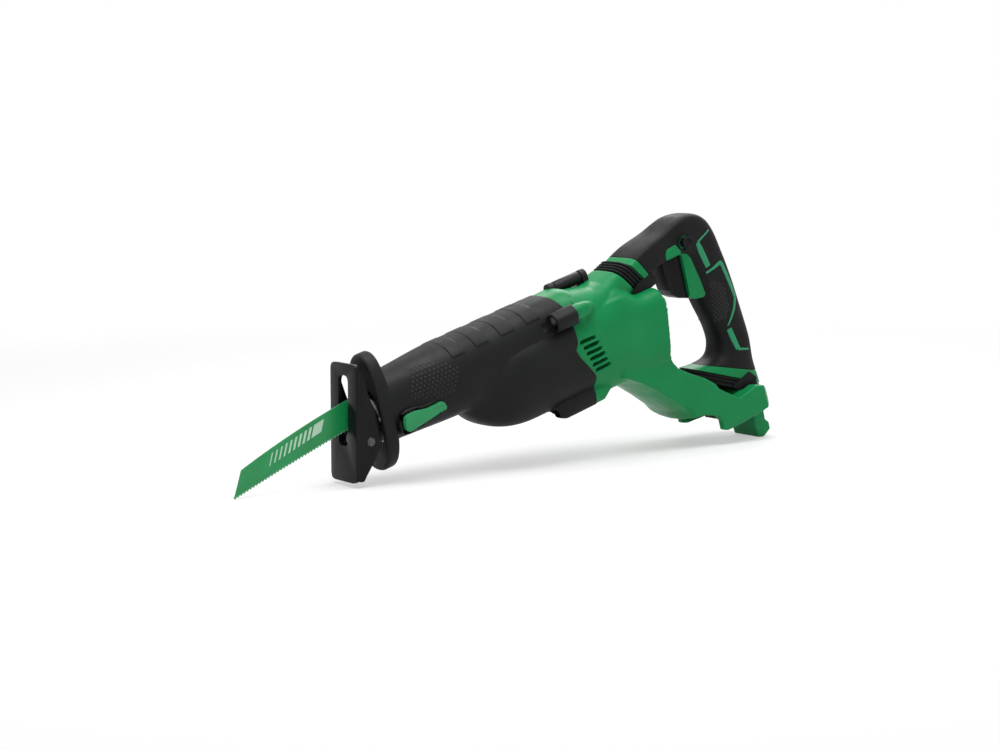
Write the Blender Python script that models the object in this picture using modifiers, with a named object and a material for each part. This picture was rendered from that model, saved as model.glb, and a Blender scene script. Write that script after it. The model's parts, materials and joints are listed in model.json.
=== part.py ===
# Cordless reciprocating saw with a floating D handle, as separate pieces.
# Units are metres. Pieces are drawn in the tool's own frame: x runs to the rear along
# the plunger's axis, y to the right side, z up from the plunger's axis. One parent empty
# tilts that frame so that the saw rests on its blade tip and its rear foot.

import math

import bpy
import bmesh
from mathutils import Matrix, Vector

# Clearances
GAP = 0.0003              # seat gap between two pieces of one body
RUN = 0.0005              # running gap beside a moving piece
WALL = 0.003              # moulded wall
SKIN = 0.003              # rubber cover over the gear case

# Drive
STROKE = 0.032
PLUNGER_RADIUS = 0.008
PLUNGER_FRONT = 0.0605
PLUNGER_REAR = 0.230
WOBBLE_X = 0.178
WOBBLE_DROP = 0.042       # plunger axis to wobble shaft axis
MOTOR_DROP = 0.025        # plunger axis to motor axis
RING_WIDTH = 0.010
RING_RADIUS = 0.017
HUB_RADIUS = 0.012
HUB_WIDTH = 0.016
FINGER_RADIUS = 0.003
BALL_RADIUS = 0.0045
GEAR_TEETH = 36
PINION_TEETH = 9
PINION_BORE = 0.0018
GEAR_WIDTH = 0.008
GEAR_BEHIND_WOBBLE = 0.018
SHAFT_RADIUS = 0.005
MOTOR_SHAFT_RADIUS = 0.003
BEARING_WIDTH = 0.007
WOBBLE_BEARING_RADIUS = 0.011
FRONT_JOURNAL = 0.0032    # slim front end of the wobble shaft
FRONT_BEARING_RADIUS = 0.006
FRONT_BEARING_WIDTH = 0.006
MOTOR_BEARING_RADIUS = 0.0095

# Motor
STATOR_RADIUS = 0.027
STATOR_LENGTH = 0.036
STATOR_START = 0.274
WINDING_REACH = 0.006
ROTOR_RADIUS = 0.0145
FAN_RADIUS = 0.0235
FAN_WIDTH = 0.008
FAN_START = 0.2545
FAN_BLADES = 9
REAR_BEARING_START = 0.320

# Gear case and its rubber cover
COVER_TOP = 0.0338
COVER_NECK_TOP = 0.030
COVER_BOTTOM = 0.036
COVER_NECK_BOTTOM = 0.033
BULGE_BOTTOM = 0.069
BULGE_TOP = 0.013         # shoulder where the gear bulge leaves the barrel
VALLEY = 0.003            # rounding of the valley between barrel and bulge
BARREL_POWER = 2.4
BULGE_POWER = 2.8
COVER_NECK_HALF_WIDTH = 0.027
COVER_HALF_WIDTH = 0.033
BULGE_HALF_WIDTH = 0.041
BULGE_START = 0.127
BULGE_END = 0.200
NOSE_FRONT = 0.086
NOSE_LENGTH = 0.042
COVER_PLATE = 0.006
SEAM_TOP_X = 0.257        # rear edge of the rubber cover at the top and bottom
SEAM_MID_X = 0.245        # and at the forward point of its zigzag
SEAM_MID_Z = -0.0195
FLANGE_FRONT = 0.040
FLANGE_WIDTH = 0.0135
FLANGE_TOP = 0.052
FLANGE_BOTTOM = 0.055
FLANGE_HALF_WIDTH = 0.028
FLANGE_LEAN = 0.10        # top of the flange set back for its height
MOUTH_TOP = 0.021
MOUTH_BOTTOM = 0.033
MOUTH_HALF_WIDTH = 0.0215
BOSS_RADIUS = 0.0085
BOSS_FRONT = 0.226
LOWER_BOSS_LEAD = 0.012   # lower bosses start this far ahead of the upper ones
UPPER_BOSS_Y = 0.0375
UPPER_BOSS_Z = 0.0165
LOWER_BOSS_Y = 0.0262
LOWER_BOSS_Z = -0.0702
BOLT_RADIUS = 0.0025
BOLT_HEAD_RADIUS = 0.0045
BOLT_LENGTH = 0.036
BOLT_HEAD = 0.005

# Motor housing and battery base
HOUSING_TOP_FRONT = 0.0335
HOUSING_TOP = 0.022
HOUSING_TOP_REAR = 0.001
HOUSING_BOTTOM = 0.077
HOUSING_HALF_WIDTH = 0.038
HOUSING_REAR = 0.362
REAR_ROUNDING = 0.006
HOUSING_POWER = 2.7
HOUSING_REAR_POWER = 3.6  # squarer section at the rear
VENT_SLOTS = 6
VENT_WIDTH = 0.0032
VENT_LENGTH = 0.022
BASE_HALF_WIDTH = 0.035
ARCH_RADIUS = 0.2006
ARCH_X = 0.1935           # middle of the arch under the neck
ARCH_Z = -0.240
BASE_FRONT = 0.363
BOARD_REAR = 0.386
BOARD_HEIGHT = 0.010
BASE_FRONT_Z = -0.1335
BAY_SLOPE = math.radians(-11.7)
BAY_HALF_WIDTH = 0.0275
BAY_STEP = 0.002          # ceiling of the bay above the base's front lip
BAY_REAR = 0.442
RAIL_FRONT = 0.395
RAIL_Z = -0.160
RAIL_LIP = 0.004
BASE_REAR = 0.467
BASE_CORNER = 0.0135     # slanted rear corners of the base
FOOT_X = 0.445
FOOT_Z = -0.19076
FOOT_HALF_WIDTH = 0.018
FOOT_LENGTH = 0.022

# Floating handle
STUB_FRONT = 0.297
STUB_X = 0.3325           # middle of the stub's slanted end
STUB_Z = 0.0155
STUB_HALF_HEIGHT = 0.0165
ARM_RAKE = math.radians(34)
STUB_REAR = 0.340
STUB_STEP = 0.034         # length in which the housing drops away under the arm
JOINT_SLOPE = math.radians(-30)
LOWER_BELLOWS_HEIGHT = 0.011
HEEL_X = 0.431
HEEL_Z = -0.120
HEEL_HALF_LENGTH = 0.048
HEEL_HALF_WIDTH = 0.021
ARM_X = 0.3465
ARM_Z = 0.020
ARM_HALF_HEIGHT = 0.0160
ARM_HALF_WIDTH = 0.022
GRIP_SKIN = 0.0022
PIVOT_X = 0.404
PIVOT_Z = -0.1275
PIVOT_RADIUS = 0.0035
TONGUE_HALF_WIDTH = 0.0075
TRIGGER_HALF_WIDTH = 0.009
TRIGGER_TRAVEL = 0.007
BEZEL_WALL = 0.004
LOCK_RADIUS = 0.005
LOCK_X = 0.4125
LOCK_Z = 0.026
LOCK_TRAVEL = 0.004
SWITCH_FRONT = 0.433
SWITCH_LENGTH = 0.0135
SWITCH_HALF_WIDTH = 0.0085
SWITCH_LOW = -0.028
SWITCH_HIGH = -0.003
TRIGGER_REAR = 0.424
TRIGGER_FRONT = 0.383
TRIGGER_TOP = 0.0118
TRIGGER_LOW = -0.029
BEZEL_FRONT = 0.404
BEZEL_REAR = 0.430
BEZEL_LOW = -0.040
BEZEL_HIGH = 0.016

# Front end
BLADE_THICKNESS = 0.0013
BLADE_TIP_X = -0.103
BLADE_TIP_Z = -0.021
BLADE_TOP = 0.0175
BLADE_BOTTOM = -0.0090
BLADE_HEEL_X = 0.026
BLADE_BELLY = 0.0008      # bow of the toothed edge
TOOTH_PITCH = 0.0034
TOOTH_DEPTH = 0.0016
TANG_HALF_HEIGHT = 0.006
HOLDER_FRONT = 0.041
HOLDER_LENGTH = 0.0275
HOLDER_RADIUS = 0.011
SLEEVE_RADIUS = 0.0135
SLEEVE_LENGTH = 0.013
BLADE_PIN_RADIUS = 0.0018
SHOE_SWING = math.radians(17.8)
SHOE_PIVOT_X = 0.025
SHOE_PIVOT_Z = -0.0195
SHOE_REACH = 0.0152       # plate's front face ahead of the pivot
SHOE_ABOVE = 0.0675       # plate's top above the pivot
SHOE_BELOW = 0.0345
SHOE_HALF_WIDTH = 0.0205
SHOE_PLATE = 0.003
SHOE_SLOT_HALF_WIDTH = 0.009
SHOE_PIN_RADIUS = 0.003
POST_THICKNESS = 0.006
POST_HALF_WIDTH = 0.011
POST_REAR = 0.124
POST_Z = -0.0215

# Blade-release lever and rafter hook
LEVER_PIVOT_X = 0.064
LEVER_Y = 0.0322
LEVER_THICKNESS = 0.005
LEVER_Z = -0.0145
LEVER_LOBE = 0.0085
LEVER_LENGTH = 0.036
LEVER_TAIL_HALF_HEIGHT = 0.005
LEVER_PIN_RADIUS = 0.0016
HOOK_FRONT = 0.264
HOOK_LENGTH = 0.044
HOOK_Y = 0.010
HOOK_Z = 0.0295
HOOK_RADIUS = 0.0055
HOOK_PIN_RADIUS = 0.0025
HOOK_EAR = 0.006
HOOK_PLATE = 0.0045
HOOK_WIDTH = 0.015
HOOK_OUT = 0.0505
HOOK_DOWN = 0.040

RING_SIDES = 24
ROUND_SIDES = 16
SMALL_SIDES = 12
BOLT_SIDES = 8
BELLOWS_SIDES = 16
DRAWING_SCALE = 1000.0    # flat outlines are filled in millimetres, where small steps stay apart

# Values that follow from the sizes above
GEAR_FRONT = WOBBLE_X + GEAR_BEHIND_WOBBLE
CASE_REAR = GEAR_FRONT + GEAR_WIDTH + 0.002
PLATE_REAR = CASE_REAR + COVER_PLATE
WOBBLE_ANGLE = math.asin(STROKE / 2 / WOBBLE_DROP)
TILT = math.atan2(BLADE_TIP_Z - FOOT_Z, FOOT_X - BLADE_TIP_X)
HEEL_NORMAL = Vector((math.sin(JOINT_SLOPE), 0.0, -math.cos(JOINT_SLOPE)))
HEEL_ALONG = Vector((math.cos(JOINT_SLOPE), 0.0, math.sin(JOINT_SLOPE)))


# Scene and object helpers

def clear_scene():
    for old in list(bpy.data.objects):
        bpy.data.objects.remove(old, do_unlink=True)


def new_collection(name):
    collection = bpy.data.collections.new(name)
    bpy.context.scene.collection.children.link(collection)
    return collection


clear_scene()
PARTS = new_collection("reciprocating_saw")
CUTTERS = new_collection("cutters")


def add_empty(name, parent=None, location=(0, 0, 0), pitch=0.0):
    empty = bpy.data.objects.new(name, None)
    empty.empty_display_size = 0.02
    PARTS.objects.link(empty)
    empty.parent = parent
    empty.location = location
    empty.rotation_euler = (0.0, pitch, 0.0)
    return empty


def object_from(name, bm):
    bm.normal_update()
    bmesh.ops.recalc_face_normals(bm, faces=bm.faces)
    mesh = bpy.data.meshes.new(name)
    bm.to_mesh(mesh)
    bm.free()
    mesh.shade_smooth()
    mesh.set_sharp_from_angle(angle=math.radians(35))
    return bpy.data.objects.new(name, mesh)


def finish(obj, colour, roughness, metallic, joint=None):
    # A piece hangs on its joint's empty, but keeps its place in the tool's frame.
    PARTS.objects.link(obj)
    material = bpy.data.materials.new(obj.name)
    material.use_nodes = True
    shader = material.node_tree.nodes["Principled BSDF"]
    shader.inputs["Base Color"].default_value = (*colour, 1.0)
    shader.inputs["Roughness"].default_value = roughness
    shader.inputs["Metallic"].default_value = metallic
    obj.data.materials.append(material)
    tidy = obj.modifiers.new("tidy", "DECIMATE")
    tidy.decimate_type = "DISSOLVE"
    tidy.angle_limit = math.radians(0.3)
    obj.parent = joint or TOOL
    if joint and joint is not SHOE_AXIS:
        obj.matrix_parent_inverse = Matrix.Translation(-Vector(joint.location))
    return obj


def as_tool(obj, parent=None):
    CUTTERS.objects.link(obj)
    obj.hide_render = True
    obj.display_type = "WIRE"
    obj.parent = parent or TOOL
    return obj


def combine(obj, operation, others, parent=None):
    for other in others:
        if other.name not in CUTTERS.objects:
            as_tool(other, parent)
        modifier = obj.modifiers.new(other.name, "BOOLEAN")
        modifier.operation = operation
        modifier.solver = "MANIFOLD"
        modifier.object = other
    return obj


def subtract(obj, *others, parent=None):
    return combine(obj, "DIFFERENCE", others, parent)


def unite(obj, *others, parent=None):
    return combine(obj, "UNION", others, parent)


# Shapes

def box(name, low, high):
    bm = bmesh.new()
    bmesh.ops.create_cube(bm, size=1.0)
    low, high = Vector(low), Vector(high)
    bmesh.ops.scale(bm, vec=high - low, verts=bm.verts)
    bmesh.ops.translate(bm, vec=(low + high) / 2, verts=bm.verts)
    return object_from(name, bm)


def rod(name, radius, start, end, sides=ROUND_SIDES, end_radius=None):
    start, end = Vector(start), Vector(end)
    along = end - start
    bm = bmesh.new()
    bmesh.ops.create_cone(bm, cap_ends=True, segments=sides, radius1=radius,
                          radius2=end_radius or radius, depth=along.length)
    turn = Vector((0, 0, 1)).rotation_difference(along).to_matrix().to_4x4()
    bmesh.ops.transform(bm, matrix=Matrix.Translation((start + end) / 2) @ turn, verts=bm.verts)
    return object_from(name, bm)


def turned(name, profile, z, sides=ROUND_SIDES):
    # A closed profile of (x, radius) points, spun about a line along x at height z.
    bm = bmesh.new()
    points = [bm.verts.new((x, 0.0, z + radius)) for x, radius in profile]
    edges = [bm.edges.new((a, b)) for a, b in zip(points, points[1:] + points[:1])]
    bmesh.ops.spin(bm, geom=points + edges, cent=(0, 0, z), axis=(1, 0, 0),
                   angle=2 * math.pi, steps=sides, use_merge=True)
    bmesh.ops.remove_doubles(bm, verts=bm.verts, dist=1e-6)
    return object_from(name, bm)


def ring_profile(x0, x1, inner, outer):
    return [(x0, inner), (x0, outer), (x1, outer), (x1, inner)]


def outline(name, points, low, high, axis="y"):
    # A flat outline in x and z (or y and z) with thickness along y (or x).
    curve = bpy.data.curves.new(name, "CURVE")
    curve.dimensions = "2D"
    curve.fill_mode = "BOTH"
    curve.extrude = (high - low) / 2 * DRAWING_SCALE
    spline = curve.splines.new("POLY")
    spline.points.add(len(points) - 1)
    for place, (across, up) in zip(spline.points, points):
        place.co = (across * DRAWING_SCALE, up * DRAWING_SCALE, 0.0, 1.0)
    spline.use_cyclic_u = True
    flat = bpy.data.objects.new(name, curve)
    bpy.context.scene.collection.objects.link(flat)
    graph = bpy.context.evaluated_depsgraph_get()
    mesh = bpy.data.meshes.new_from_object(flat.evaluated_get(graph))
    bpy.data.objects.remove(flat)
    bm = bmesh.new()
    bm.from_mesh(mesh)
    bpy.data.meshes.remove(mesh)
    bmesh.ops.remove_doubles(bm, verts=bm.verts, dist=1e-4)
    bmesh.ops.dissolve_limit(bm, angle_limit=math.radians(0.2), verts=bm.verts, edges=bm.edges)
    middle = (low + high) / 2
    for vert in bm.verts:
        across, up, depth = vert.co / DRAWING_SCALE
        if axis == "y":
            vert.co = (across, depth + middle, up)
        elif axis == "x":
            vert.co = (depth + middle, across, up)
        else:
            vert.co = (across, up, depth + middle)
    return object_from(name, bm)


def arc(centre, radius, start, end, steps):
    points = []
    for i in range(steps + 1):
        angle = math.radians(start + (end - start) * i / steps)
        points.append((centre[0] + radius * math.cos(angle), centre[1] + radius * math.sin(angle)))
    return points


def oval(x, z, half_width, half_height, power=2.4, heading=0.0, taper=0.0, sides=RING_SIDES):
    # A rounded section across the heading; taper narrows its top and widens its bottom.
    ring = []
    for i in range(sides):
        angle = 2 * math.pi * (i + 0.5) / sides
        c, s = math.cos(angle), math.sin(angle)
        y = half_width * math.copysign(abs(c) ** (2 / power), c)
        d = half_height * math.copysign(abs(s) ** (2 / power), s)
        y *= 1 - taper * d / half_height
        ring.append(Vector((x - d * math.sin(heading), y, z + d * math.cos(heading))))
    return ring


def skin(name, rings, closed=False, split=False):
    # Faces between neighbouring rings, with flat ends unless the rings close on themselves.
    # Split faces all lean one way, so that an inset copy of a twisted form stays clear of it.
    bm = bmesh.new()
    rows = [[bm.verts.new(point) for point in ring] for ring in rings]
    count = len(rows[0])
    pairs = list(zip(rows, rows[1:]))
    if closed:
        pairs.append((rows[-1], rows[0]))
    for a, b in pairs:
        for i in range(count):
            j = (i + 1) % count
            if split:
                bm.faces.new((a[i], a[j], b[j]))
                bm.faces.new((a[i], b[j], b[i]))
            else:
                bm.faces.new((a[i], a[j], b[j], b[i]))
    if not closed:
        bm.faces.new(rows[0])
        bm.faces.new(rows[-1])
    return object_from(name, bm)


def coil(name, start, end, radius, wire, turns, steps=9):
    # A helix from start to end, as a bevelled curve made into a mesh.
    start, end = Vector(start), Vector(end)
    along = end - start
    turn = Vector((0, 0, 1)).rotation_difference(along).to_matrix()
    curve = bpy.data.curves.new(name, "CURVE")
    curve.dimensions = "3D"
    curve.bevel_depth = wire
    curve.bevel_resolution = 0
    curve.use_fill_caps = True
    spline = curve.splines.new("POLY")
    count = turns * steps
    spline.points.add(count)
    for i, place in enumerate(spline.points):
        angle = 2 * math.pi * i / steps
        local = Vector((radius * math.cos(angle), radius * math.sin(angle), along.length * i / count))
        place.co = (*(start + turn @ local), 1.0)
    wire_object = bpy.data.objects.new(name, curve)
    bpy.context.scene.collection.objects.link(wire_object)
    graph = bpy.context.evaluated_depsgraph_get()
    mesh = bpy.data.meshes.new_from_object(wire_object.evaluated_get(graph))
    bpy.data.objects.remove(wire_object)
    bm = bmesh.new()
    bm.from_mesh(mesh)
    bpy.data.meshes.remove(mesh)
    bmesh.ops.remove_doubles(bm, verts=bm.verts, dist=1e-6)
    return object_from(name, bm)


def ease(x, x0, x1):
    t = min(max((x - x0) / (x1 - x0), 0.0), 1.0)
    return t * t * (3 - 2 * t)


def mix(a, b, t):
    return a + (b - a) * t


def steps_between(x0, x1, count):
    return [mix(x0, x1, i / count) for i in range(count + 1)]


# Frame of the tool and its joint axes

def rest_offset():
    # Put the blade tip and the foot on z = 0, and the origin midway along the length.
    turn = Matrix.Rotation(-TILT, 3, "Y")
    tip = turn @ Vector((BLADE_TIP_X, 0, BLADE_TIP_Z))
    heel = turn @ (Vector((HEEL_X, 0, HEEL_Z)) + HEEL_ALONG * HEEL_HALF_LENGTH)
    return (-(tip.x + heel.x) / 2, 0.0, -tip.z)


TOOL = add_empty("tool_frame", None, rest_offset(), -TILT)
PLUNGER_AXIS = add_empty("plunger_axis", TOOL, (WOBBLE_X, 0, 0))
ROTOR_AXIS = add_empty("rotor_axis", TOOL, (STATOR_START, 0, -MOTOR_DROP))
WOBBLE_AXIS = add_empty("wobble_axis", TOOL, (WOBBLE_X, 0, -WOBBLE_DROP))
POST_AXIS = add_empty("shoe_post_axis", TOOL, (SHOE_PIVOT_X, 0, POST_Z))
SHOE_AXIS = add_empty("shoe_axis", TOOL, (SHOE_PIVOT_X, 0, SHOE_PIVOT_Z), SHOE_SWING)
LEVER_AXIS = add_empty("blade_lever_axis", TOOL, (LEVER_PIVOT_X, -LEVER_Y, LEVER_Z))
HOOK_AXIS = add_empty("hook_axis", TOOL, (HOOK_FRONT, HOOK_Y, HOOK_Z))
HANDLE_AXIS = add_empty("handle_axis", TOOL, (PIVOT_X, 0, PIVOT_Z))
TRIGGER_AXIS = add_empty("trigger_axis", TOOL, (SWITCH_FRONT, 0, LOCK_Z))
LOCK_AXIS = add_empty("lock_axis", TOOL, (LOCK_X, 0, LOCK_Z))

GREEN = (0.0, 0.23, 0.045)
BLACK = (0.012, 0.012, 0.013)
STEEL = (0.45, 0.46, 0.47)
ALLOY = (0.62, 0.63, 0.64)
BRONZE = (0.45, 0.30, 0.12)
COPPER = (0.60, 0.25, 0.10)


# Sections shared by the rubber cover, the gear case and the housing's spigot

def oval_gap(y, z, half_width, half_height, power):
    # How far a point lies outside an oval, along the line from the oval's middle.
    reach = (abs(y / half_width) ** power + abs(z / half_height) ** power) ** (1 / power)
    return math.hypot(y, z) * (1 - 1 / reach)


def bulge_share(x):
    # The gear bulge grows out of the barrel with a round nose.
    t = min(max((x - BULGE_START) / (BULGE_END - BULGE_START), 0.0), 1.0)
    return (1 - (1 - t) ** 2.5) ** (2 / 3)


def cover_gap(x, y, z):
    # Barrel and bulge run together in a rounded valley along each side.
    slim = ease(x, FLANGE_FRONT + FLANGE_WIDTH, NOSE_FRONT + NOSE_LENGTH)
    top = mix(COVER_NECK_TOP, COVER_TOP, slim)
    bottom = mix(COVER_NECK_BOTTOM, COVER_BOTTOM, slim)
    width = mix(COVER_NECK_HALF_WIDTH, COVER_HALF_WIDTH, slim)
    barrel = oval_gap(y, z - (top - bottom) / 2, width, (top + bottom) / 2, BARREL_POWER)
    grown = bulge_share(x)
    if grown < 0.05:
        return barrel
    half = (BULGE_BOTTOM + BULGE_TOP) / 2 * grown
    bulge = oval_gap(y, z + (BULGE_BOTTOM - BULGE_TOP) / 2, BULGE_HALF_WIDTH * grown, half, BULGE_POWER)
    near = min(max(0.5 + (barrel - bulge) / (2 * VALLEY), 0.0), 1.0)
    return mix(barrel, bulge, near) - VALLEY * near * (1 - near)


def motor_gap(x, y, z):
    top = mix(HOUSING_TOP_FRONT, HOUSING_TOP, ease(x, SEAM_TOP_X, SEAM_TOP_X + 0.028))
    top = mix(top, HOUSING_TOP_REAR, ease(x, STUB_REAR - STUB_STEP, STUB_REAR))
    bottom = mix(BULGE_BOTTOM, HOUSING_BOTTOM, ease(x, SEAM_MID_X, SEAM_TOP_X + 0.028))
    width = mix(BULGE_HALF_WIDTH, HOUSING_HALF_WIDTH, ease(x, SEAM_MID_X, SEAM_TOP_X + 0.030))
    power = mix(HOUSING_POWER, HOUSING_REAR_POWER, ease(x, STUB_FRONT, HOUSING_REAR))
    motor = oval_gap(y, z - (top - bottom) / 2, width, (top + bottom) / 2, power)
    return mix(cover_gap(x, y, z), motor, ease(x, SEAM_MID_X, SEAM_TOP_X + 0.030))


def section_ring(gap, x, inset):
    # Ring of points at a fixed inset, found along spokes from the section's middle.
    middle = mix(-0.001, -0.020, ease(x, BULGE_START - 0.015, BULGE_START + 0.040))
    ring = []
    for i in range(RING_SIDES):
        angle = 2 * math.pi * (i + 0.5) / RING_SIDES
        near, far = 0.001, 0.1
        for _ in range(32):
            reach = (near + far) / 2
            if gap(x, reach * math.cos(angle), middle + reach * math.sin(angle)) < -inset:
                near = reach
            else:
                far = reach
        ring.append(Vector((x, near * math.cos(angle), middle + near * math.sin(angle))))
    return ring


def cover_ring(x, inset):
    return section_ring(cover_gap, x, inset)


def motor_ring(x, inset):
    return section_ring(motor_gap, x, inset)


def cover_loft(name, x0, x1, inset):
    # All lofts of this section share their stations, so that their walls stay parallel.
    stations = steps_between(FLANGE_FRONT, NOSE_FRONT, 3) + steps_between(NOSE_FRONT, BULGE_START, 2)[1:]
    stations += steps_between(BULGE_START, BULGE_END, 7)[1:]
    between = [x for x in stations if x0 + 0.001 < x < x1 - 0.001]
    return skin(name, [cover_ring(x, inset) for x in [x0] + between + [x1]])


def motor_loft(name, x0, x1, inset, count):
    return skin(name, [motor_ring(x, inset) for x in steps_between(x0, x1, count)])


def seam(shift, side_x):
    # Zigzag edge between rubber cover and housing, closed off at side_x.
    high, low = COVER_TOP + 0.02, -BULGE_BOTTOM - 0.02
    step = SEAM_TOP_X - SEAM_MID_X
    return [
        (SEAM_TOP_X + shift, high),
        (SEAM_TOP_X + shift, SEAM_MID_Z + 2.2 * step),
        (SEAM_MID_X + shift, SEAM_MID_Z + 0.6 * step),
        (SEAM_MID_X + shift, SEAM_MID_Z - 0.6 * step),
        (SEAM_TOP_X + shift, SEAM_MID_Z - 2.4 * step),
        (SEAM_TOP_X + shift, low),
        (side_x, low),
        (side_x, high),
    ]


BOSSES = [
    (side * UPPER_BOSS_Y, UPPER_BOSS_Z) for side in (-1, 1)
] + [
    (side * LOWER_BOSS_Y, LOWER_BOSS_Z) for side in (-1, 1)
]
BOLT_FRONT = BOSS_FRONT + 0.003
BOLT_SEAT = BOLT_FRONT + BOLT_HEAD
BOLT_END = BOLT_SEAT + BOLT_LENGTH


# Rubber cover, gear case and bolts

def make_front_cover():
    cover = cover_loft("front_cover", FLANGE_FRONT + FLANGE_WIDTH / 2, SEAM_TOP_X + 0.004, 0.0)
    edge = FLANGE_WIDTH * 0.22
    middle = (FLANGE_TOP - FLANGE_BOTTOM) / 2
    height = (FLANGE_TOP + FLANGE_BOTTOM) / 2
    rings = []
    for x, inset in ((0, edge), (edge, 0), (FLANGE_WIDTH - edge, 0), (FLANGE_WIDTH, edge)):
        ring = oval(FLANGE_FRONT + x, middle, FLANGE_HALF_WIDTH - inset, height - inset, 2.3, taper=0.16)
        rings.append([point + Vector((point.z * FLANGE_LEAN, 0, 0)) for point in ring])
    flange = skin("flange", rings)
    mouth_height = (MOUTH_TOP + MOUTH_BOTTOM) / 2
    mouth_z = (MOUTH_TOP - MOUTH_BOTTOM) / 2
    mouth = skin("mouth", [
        oval(x, mouth_z, MOUTH_HALF_WIDTH, mouth_height, 3.0)
        for x in (FLANGE_FRONT - 0.01, NOSE_FRONT + 0.004)
    ])
    unite(cover, flange)
    for i, (y, z) in enumerate(BOSSES):
        front = BOSS_FRONT - (LOWER_BOSS_LEAD if z < 0 else 0.0)
        unite(cover, skin("cover_boss_%d" % i, boss_rings(y, z, front, SEAM_TOP_X + 0.002)))
    subtract(cover, mouth, cover_loft("cover_inside", NOSE_FRONT - GAP, SEAM_TOP_X + 0.03, SKIN))
    for i in range(len(BOSSES)):
        subtract(cover, head_pocket(i), bolt_hole(i))
    subtract(cover, outline("cover_seam", seam(-GAP / 2, SEAM_TOP_X + 0.05), -0.08, 0.08))
    subtract(cover, *lever_recess())
    return finish(cover, BLACK, 0.55, 0.0)


def boss_rings(y, z, x0, x1):
    # A screw boss along x with a rounded front lip.
    rings = []
    for x, shrink in ((x0, 0.0018), (x0 + 0.0018, 0.0), (x1, 0.0)):
        radius = BOSS_RADIUS - shrink
        ring = oval(x, z, radius, radius, 2.0, sides=SMALL_SIDES)
        rings.append([point + Vector((0, y, 0)) for point in ring])
    return rings


def bolt_hole(i):
    name = "bolt_hole_%d" % i
    if name in bpy.data.objects:
        return bpy.data.objects[name]
    y, z = BOSSES[i]
    return rod(name, BOLT_RADIUS + GAP, (BOSS_FRONT, y, z), (BOLT_END + GAP, y, z), BOLT_SIDES)


def head_pocket(i):
    # Room for a bolt's head, open to the front, in the rubber boss and in the spigot under it.
    name = "head_pocket_%d" % i
    if name in bpy.data.objects:
        return bpy.data.objects[name]
    y, z = BOSSES[i]
    return rod(name, BOLT_HEAD_RADIUS + GAP, (BOSS_FRONT - 0.03, y, z), (BOLT_SEAT + GAP, y, z), SMALL_SIDES)


def make_case_bolts():
    for i, (y, z) in enumerate(BOSSES):
        bolt = rod("case_bolt_%d" % (i + 1), BOLT_HEAD_RADIUS, (BOLT_FRONT, y, z), (BOLT_SEAT, y, z),
                   SMALL_SIDES)
        unite(bolt, rod("bolt_shank_%d" % i, BOLT_RADIUS, (BOLT_SEAT - 0.001, y, z), (BOLT_END, y, z),
                        BOLT_SIDES))
        socket = rod("bolt_socket_%d" % i, BOLT_HEAD_RADIUS * 0.55, (BOLT_FRONT - 0.002, y, z),
                     (BOLT_FRONT + BOLT_HEAD * 0.6, y, z), 6)
        subtract(bolt, socket)
        finish(bolt, STEEL, 0.35, 1.0)


def post_slot():
    half = POST_THICKNESS / 2 + RUN
    reach = POST_HALF_WIDTH + RUN
    return box("post_slot", (NOSE_FRONT - 0.01, -reach, POST_Z - half),
               (NOSE_FRONT + NOSE_LENGTH + 0.01, reach, POST_Z + half))


def make_gear_case():
    inset = SKIN + GAP
    case = cover_loft("gear_case", NOSE_FRONT, CASE_REAR - GAP, inset)
    chamber = cover_loft("gear_chamber", NOSE_FRONT + NOSE_LENGTH, CASE_REAR + 0.01, inset + WALL)
    subtract(case, chamber)
    subtract(case, rod("guide_bore", guide_radius() + GAP, (NOSE_FRONT - 0.01, 0, 0),
                       (NOSE_FRONT + NOSE_LENGTH + 0.01, 0, 0)))
    subtract(case, post_slot())
    rear = WOBBLE_X - HUB_RADIUS - BALL_RADIUS - RUN
    seat = rear - FRONT_BEARING_WIDTH
    pillar = seat - WALL / 2
    z = -WOBBLE_DROP
    web_low = min(point.z for point in cover_ring(pillar, inset + WALL / 2))
    unite(case, rod("bearing_pillar", FRONT_BEARING_RADIUS + WALL / 2, (pillar, 0, z), (rear, 0, z)),
          box("bearing_web", (pillar + 0.0005, -WALL, web_low), (rear - 0.0005, WALL, z)))
    subtract(case, rod("wobble_front_seat", FRONT_BEARING_RADIUS + GAP, (seat, 0, z), (rear + 0.01, 0, z)))
    finish(case, ALLOY, 0.45, 1.0)
    ring = turned("wobble_front_bearing", ring_profile(seat + GAP, rear - GAP, FRONT_JOURNAL + GAP,
                                                       FRONT_BEARING_RADIUS), z)
    finish(ring, STEEL, 0.3, 1.0)
    return seat, rear


def guide_radius():
    return PLUNGER_RADIUS + 0.0032


def bearing(name, x, z, shaft, radius):
    ring = turned(name, ring_profile(x, x + BEARING_WIDTH - 2 * GAP, shaft + GAP, radius), z)
    return finish(ring, STEEL, 0.3, 1.0)


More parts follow.
